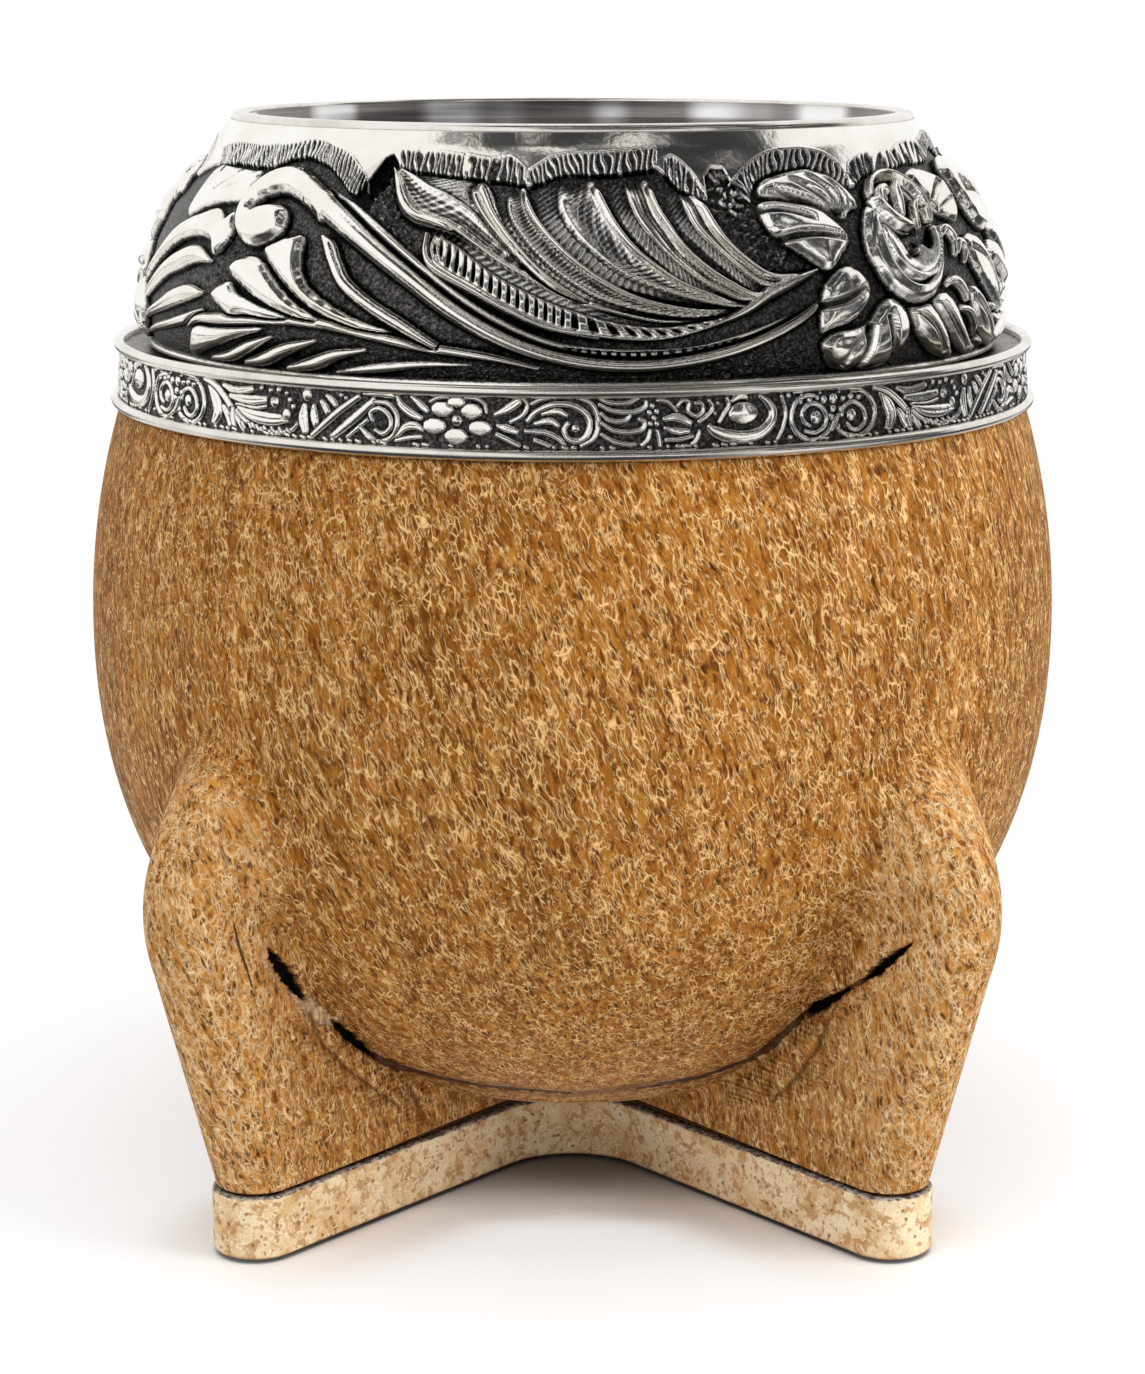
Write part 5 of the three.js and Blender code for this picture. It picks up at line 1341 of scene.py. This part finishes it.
def nearness(points, lines):
    """1 on a mark's middle line, 0 at its edge, down to FAR away from it, as seen along SIGHT."""
    best = np.full(points.shape[:2], FAR)
    for line in lines:
        line = np.reshape(line, (-1, 4))
        for a, b in zip(line, line[1:]):
            low, high = np.minimum(a, b)[:3] - MARGIN, np.maximum(a, b)[:3] + MARGIN
            near = ((points > low) & (points < high)).all(-1)
            p = points[near] - a[:3]
            p = p - (p @ SIGHT)[:, None] * SIGHT
            along = b[:3] - a[:3]
            along = along - (along @ SIGHT) * SIGHT
            t = np.clip(p @ along / (along @ along), 0, 1)
            away = np.linalg.norm(p - t[:, None] * along, axis=-1)
            z = points[near][:, 2]
            ragged = 1 + 0.16 * np.sin(5.1 * z) + 0.14 * np.sin(12.7 * z + 1)
            best[near] = np.maximum(best[near], 1 - away / (ragged * (a[3] + t * (b[3] - a[3]))))
    return best


def make_hide(material):
    """The hide's outside with its marks, and the turned edges at its bottom and top."""
    points = hide_grid(HIDE_ROWS, 26, 110, 110, 60)
    reach = np.hypot(points[..., 0], points[..., 1])
    under = 1 - smooth(points[..., 2], HIDE_BOTTOM, 9.5)
    points[..., 2] += 0.42 * (1 - smooth(reach, 16, 40)) * under
    normals = grid_normals(points)
    kinds = (("gash", SLITS), ("crack", CRACKS), ("fold", FOLDS), ("flake", FLAKES))
    marks = {key: nearness(points, lines) for key, lines in kinds}
    lift = 0.22 * smooth(marks["flake"], -0.6, 0.4) - 0.9 * smooth(marks["gash"], -0.1, 0.4)
    lift = lift - 0.25 * smooth(marks["gash"], -1.6, 0) - 0.2 * smooth(marks["fold"], -1, 1)
    lift = lift - 0.1 * smooth(marks["crack"], -0.8, 0.4) + 0.1 * smooth(nearness(points, SCRATCH), -1.2, 0.5)
    points += normals * lift[..., None]

    def hem(row, a, b):
        return points[row] + normals[row] * a + np.array([0, 0, b])

    bottom = [hem(0, -1.4, 0.0), hem(0, -0.45, -0.22)]
    top = [hem(-1, -0.5, 0.35), hem(-1, -1.4, 0.4)]
    points = np.concatenate([bottom, points, top], 0)
    marks = {key: np.pad(values, ((2, 2), (0, 0)), constant_values=FAR) for key, values in marks.items()}
    reach = np.hypot(points[..., 0], points[..., 1])
    clear = smooth(reach - body_radius(points[..., 2]), 0.4, 3.2)
    marks["leg"] = clear * (0.25 + 0.75 * smooth(reach, 36, 50))
    piece = grid_mesh("hide", points, attributes=marks, material=material)
    settle(piece, "hide_cover")


def cross_outline(cap=24, corner=30):
    """The foot's outline, anticlockwise and closed."""
    quarter = math.pi / 2
    points = []
    arms = ((math.pi + LEG_ANGLE, quarter - LEG_ANGLE), (-LEG_ANGLE, LEG_ANGLE),
            (LEG_ANGLE, quarter - LEG_ANGLE), (math.pi - LEG_ANGLE, LEG_ANGLE))

    def bow(centre, radius, start, finish, count):
        angles = np.linspace(start, finish, count)
        return [centre + radius * np.array([math.cos(t), math.sin(t)]) for t in angles]

    for turn, after in arms:
        centre = (FOOT_REACH - FOOT_HALF) * np.array([math.cos(turn), math.sin(turn)])
        points += bow(centre, FOOT_HALF, turn - quarter, turn + quarter, cap)
        middle = np.array([math.cos(turn + after), math.sin(turn + after)])
        middle = (FOOT_HALF + FOOT_BEND) / math.sin(after) * middle
        points += bow(middle, FOOT_BEND, turn - quarter, turn + 2 * after + quarter - FULL_TURN, corner)
    return np.vstack([*points, points[0]])


def make_strip(material):
    """The strip's section, with rounded outer edges, drawn round the foot."""
    p = cross_outline()
    travelled = travel(p)
    s = np.linspace(0, travelled[-1], 1600, endpoint=False)
    line = np.stack([np.interp(s, travelled, p[:, k]) for k in (0, 1)], 1)
    ahead = np.roll(line, -1, 0) - np.roll(line, 1, 0)
    for _ in range(3):
        ahead = (np.roll(ahead, 1, 0) + ahead + np.roll(ahead, -1, 0)) / 3
    ahead /= np.hypot(ahead[:, 0], ahead[:, 1])[:, None]
    out = np.stack([ahead[:, 1], -ahead[:, 0]], 1)
    r, low, high = STRIP_ROUND, STRIP_BOTTOM, STRIP_TOP
    face = [(0, z) for z in np.linspace(low + r, high - r, 16)[1:-1]]
    section = [(-STRIP_THICK, low), (-r, low), *arc((-r, low + r), r, -90, 0, 6)[1:], *face,
               *arc((-r, high - r), r, 0, 90, 6), (-STRIP_THICK, high)]
    section = np.array(section)
    x, y = (line[None, :, k] + out[None, :, k] * section[:, :1] for k in (0, 1))
    points = np.stack([x, y, section[:, 1:] + 0 * s[None, :]], -1)
    piece = grid_mesh("foot_edge", points, close_rows=True, material=material)
    settle(piece, "foot_strip")


def dress_hidden():
    """Materials for the nodes that keep their own solids."""
    wood = plain("wood", (150, 112, 70), (186, 148, 100), 0.7, (0.5, 0.5, 0.08))
    shell = plain("calabash", (150, 108, 60), (190, 150, 96), 0.65)
    pitch = plain("bedding", (30, 26, 23), (52, 46, 40), 0.85)
    sole = plain("dark_hide", (48, 34, 24), (74, 54, 38), 0.8)
    chosen = {"gourd_shell": shell, "collar_bedding": pitch, "foot_sole": sole, "foot_cross": wood}
    for name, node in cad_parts.items():
        material = wood if name.startswith("leg_fin") else chosen.get(name)
        if material:
            node.data.materials.clear()
            node.data.materials.append(material)


# Studio.


def facing(location, towards):
    """The turn that points a local Z at a place."""
    return (Vector(towards) - Vector(location)).to_track_quat("Z", "Y").to_euler()


def panel(name, centre, size, towards, shade, clear):
    """A flat clouded card, in metres, seen only in reflections."""
    bpy.ops.mesh.primitive_plane_add(size=1)
    card = bpy.context.object
    card.name = name
    card.scale = (*size, 1)
    card.location = centre
    card.rotation_euler = facing(centre, towards)
    s = Shader(name)
    cloud = s.noise(s.node("TexCoord", output="Object"), 4.5, 2.0, 0.5)
    light = s.mix(s.span(cloud, *clear), (shade, shade, shade), (1.0, 0.99, 0.97))
    s.node("OutputMaterial", {"Surface": s.node("Emission", {"Color": light, "Strength": 1.0})})
    card.data.materials.append(s.material)
    card.visible_camera = False
    card.visible_shadow = False
    card.visible_diffuse = False
    card.visible_transmission = False


def lamp(name, location, size, power, towards=(0, 0, 0.05)):
    data = bpy.data.lights.new(name, "AREA")
    data.energy = power
    data.shape = "RECTANGLE"
    data.size, data.size_y = size
    data.color = (1, 1, 1)
    made = bpy.data.objects.new(name, data)
    bpy.context.scene.collection.objects.link(made)
    made.location = location
    made.rotation_euler = facing(towards, location)
    made.visible_glossy = False


def make_floor():
    """A white floor that glows white away from the foot, with a painted contact shadow near it, where an
    occlusion node darkens its colour.
    """
    s = Shader("floor")
    place = s.node("TexCoord", output="Object")
    far = s.node("VectorMath", {0: place}, output="Value", operation="LENGTH")
    close = s.node("AmbientOcclusion", {"Distance": 0.012}, output=1)
    # Painted contact shadow: the colour goes from white to near black where the occlusion node finds the foot
    # close.
    tint = s.mix(s.span(close, 0.15, 0.62), (0.16, 0.155, 0.15), (0.97, 0.97, 0.97))
    # The floor glows white far from the foot and where nothing is close, so the painted shadow stays only by
    # the foot.
    clear = s.math("MAXIMUM", s.span(far, 0.035, 0.1), s.span(close, 0.72, 1.0, 0.0, 0.55))
    base = s.node("BsdfDiffuse", {"Color": tint})
    glow = s.node("Emission", {"Color": (1, 1, 1, 1), "Strength": 1.0})
    s.node("OutputMaterial", {"Surface": s.node("MixShader", {0: clear, 1: base, 2: glow})})
    bpy.ops.mesh.primitive_plane_add(size=6)
    floor = bpy.context.object
    floor.name = "floor"
    floor.data.materials.append(s.material)


def make_world():
    """White where it is seen, dimmer where it lights."""
    world = bpy.data.worlds.new("studio")
    bpy.context.scene.world = world
    world.use_nodes = True
    w = Shader("world", world.node_tree)
    camera, glossy, through = (w.node("LightPath", output=f"Is {kind} Ray")
                               for kind in ("Camera", "Glossy", "Transmission"))
    shown = w.math("MAXIMUM", camera, w.math("MAXIMUM", glossy, through))
    seen = w.node("Background", {"Color": (1, 1, 1, 1), "Strength": 1.0})
    fill = w.node("Background", {"Color": (1, 1, 1, 1), "Strength": 0.46})
    w.node("OutputWorld", {"Surface": w.node("MixShader", {0: shown, 1: fill, 2: seen})})


def make_studio():
    make_floor()
    make_world()
    lamp("key", (-0.25, -0.45, 0.55), (0.4, 0.4), 1.4)
    lamp("side", (0.5, -0.2, 0.3), (0.35, 0.5), 2.2)
    lamp("top", (0, 0.05, 0.7), (0.6, 0.6), 3.0)
    panel("dark_ceiling", (0.1, -0.14, 0.6), (0.68, 0.56), (0, 0, 0.09), 0.03, (0.54, 0.64))
    panel("dark_front", (0.12, -0.46, 0.34), (0.46, 0.4), (0, 0, 0.09), 0.04, (0.52, 0.64))
    panel("dark_right", (0.44, -0.14, 0.22), (0.5, 0.42), (0, 0, 0.09), 0.04, (0.54, 0.66))
    panel("dark_table", (0, -0.05, 0.004), (1.4, 1.4), (0, -0.05, 1), 0.04, (0.44, 0.6))


def make_camera():
    data = bpy.data.cameras.new("camera")
    data.lens = 80.97
    data.sensor_width = 36
    camera = bpy.data.objects.new("camera", data)
    bpy.context.scene.collection.objects.link(camera)
    camera.location = (0, -0.294347, 0.111994)
    camera.rotation_euler = (math.pi / 2 - 0.2238, 0, 0)
    bpy.context.scene.camera = camera


bpy.context.scene.view_settings.view_transform = "Standard"
make_camera()
make_studio()
silver = polished_silver()
chased = chased_silver()
make_collar(chased)
make_band(chased)
make_bead("bead_upper", "upper_bead", UPPER_RADIUS, UPPER_BEAD, silver)
make_bead("bead_lower", "lower_bead", LOWER_RADIUS, LOWER_BEAD, silver)
make_rim(silver)
make_cup(spun_steel())
make_hide(hide_leather())
make_strip(pale_strip())
dress_hidden()
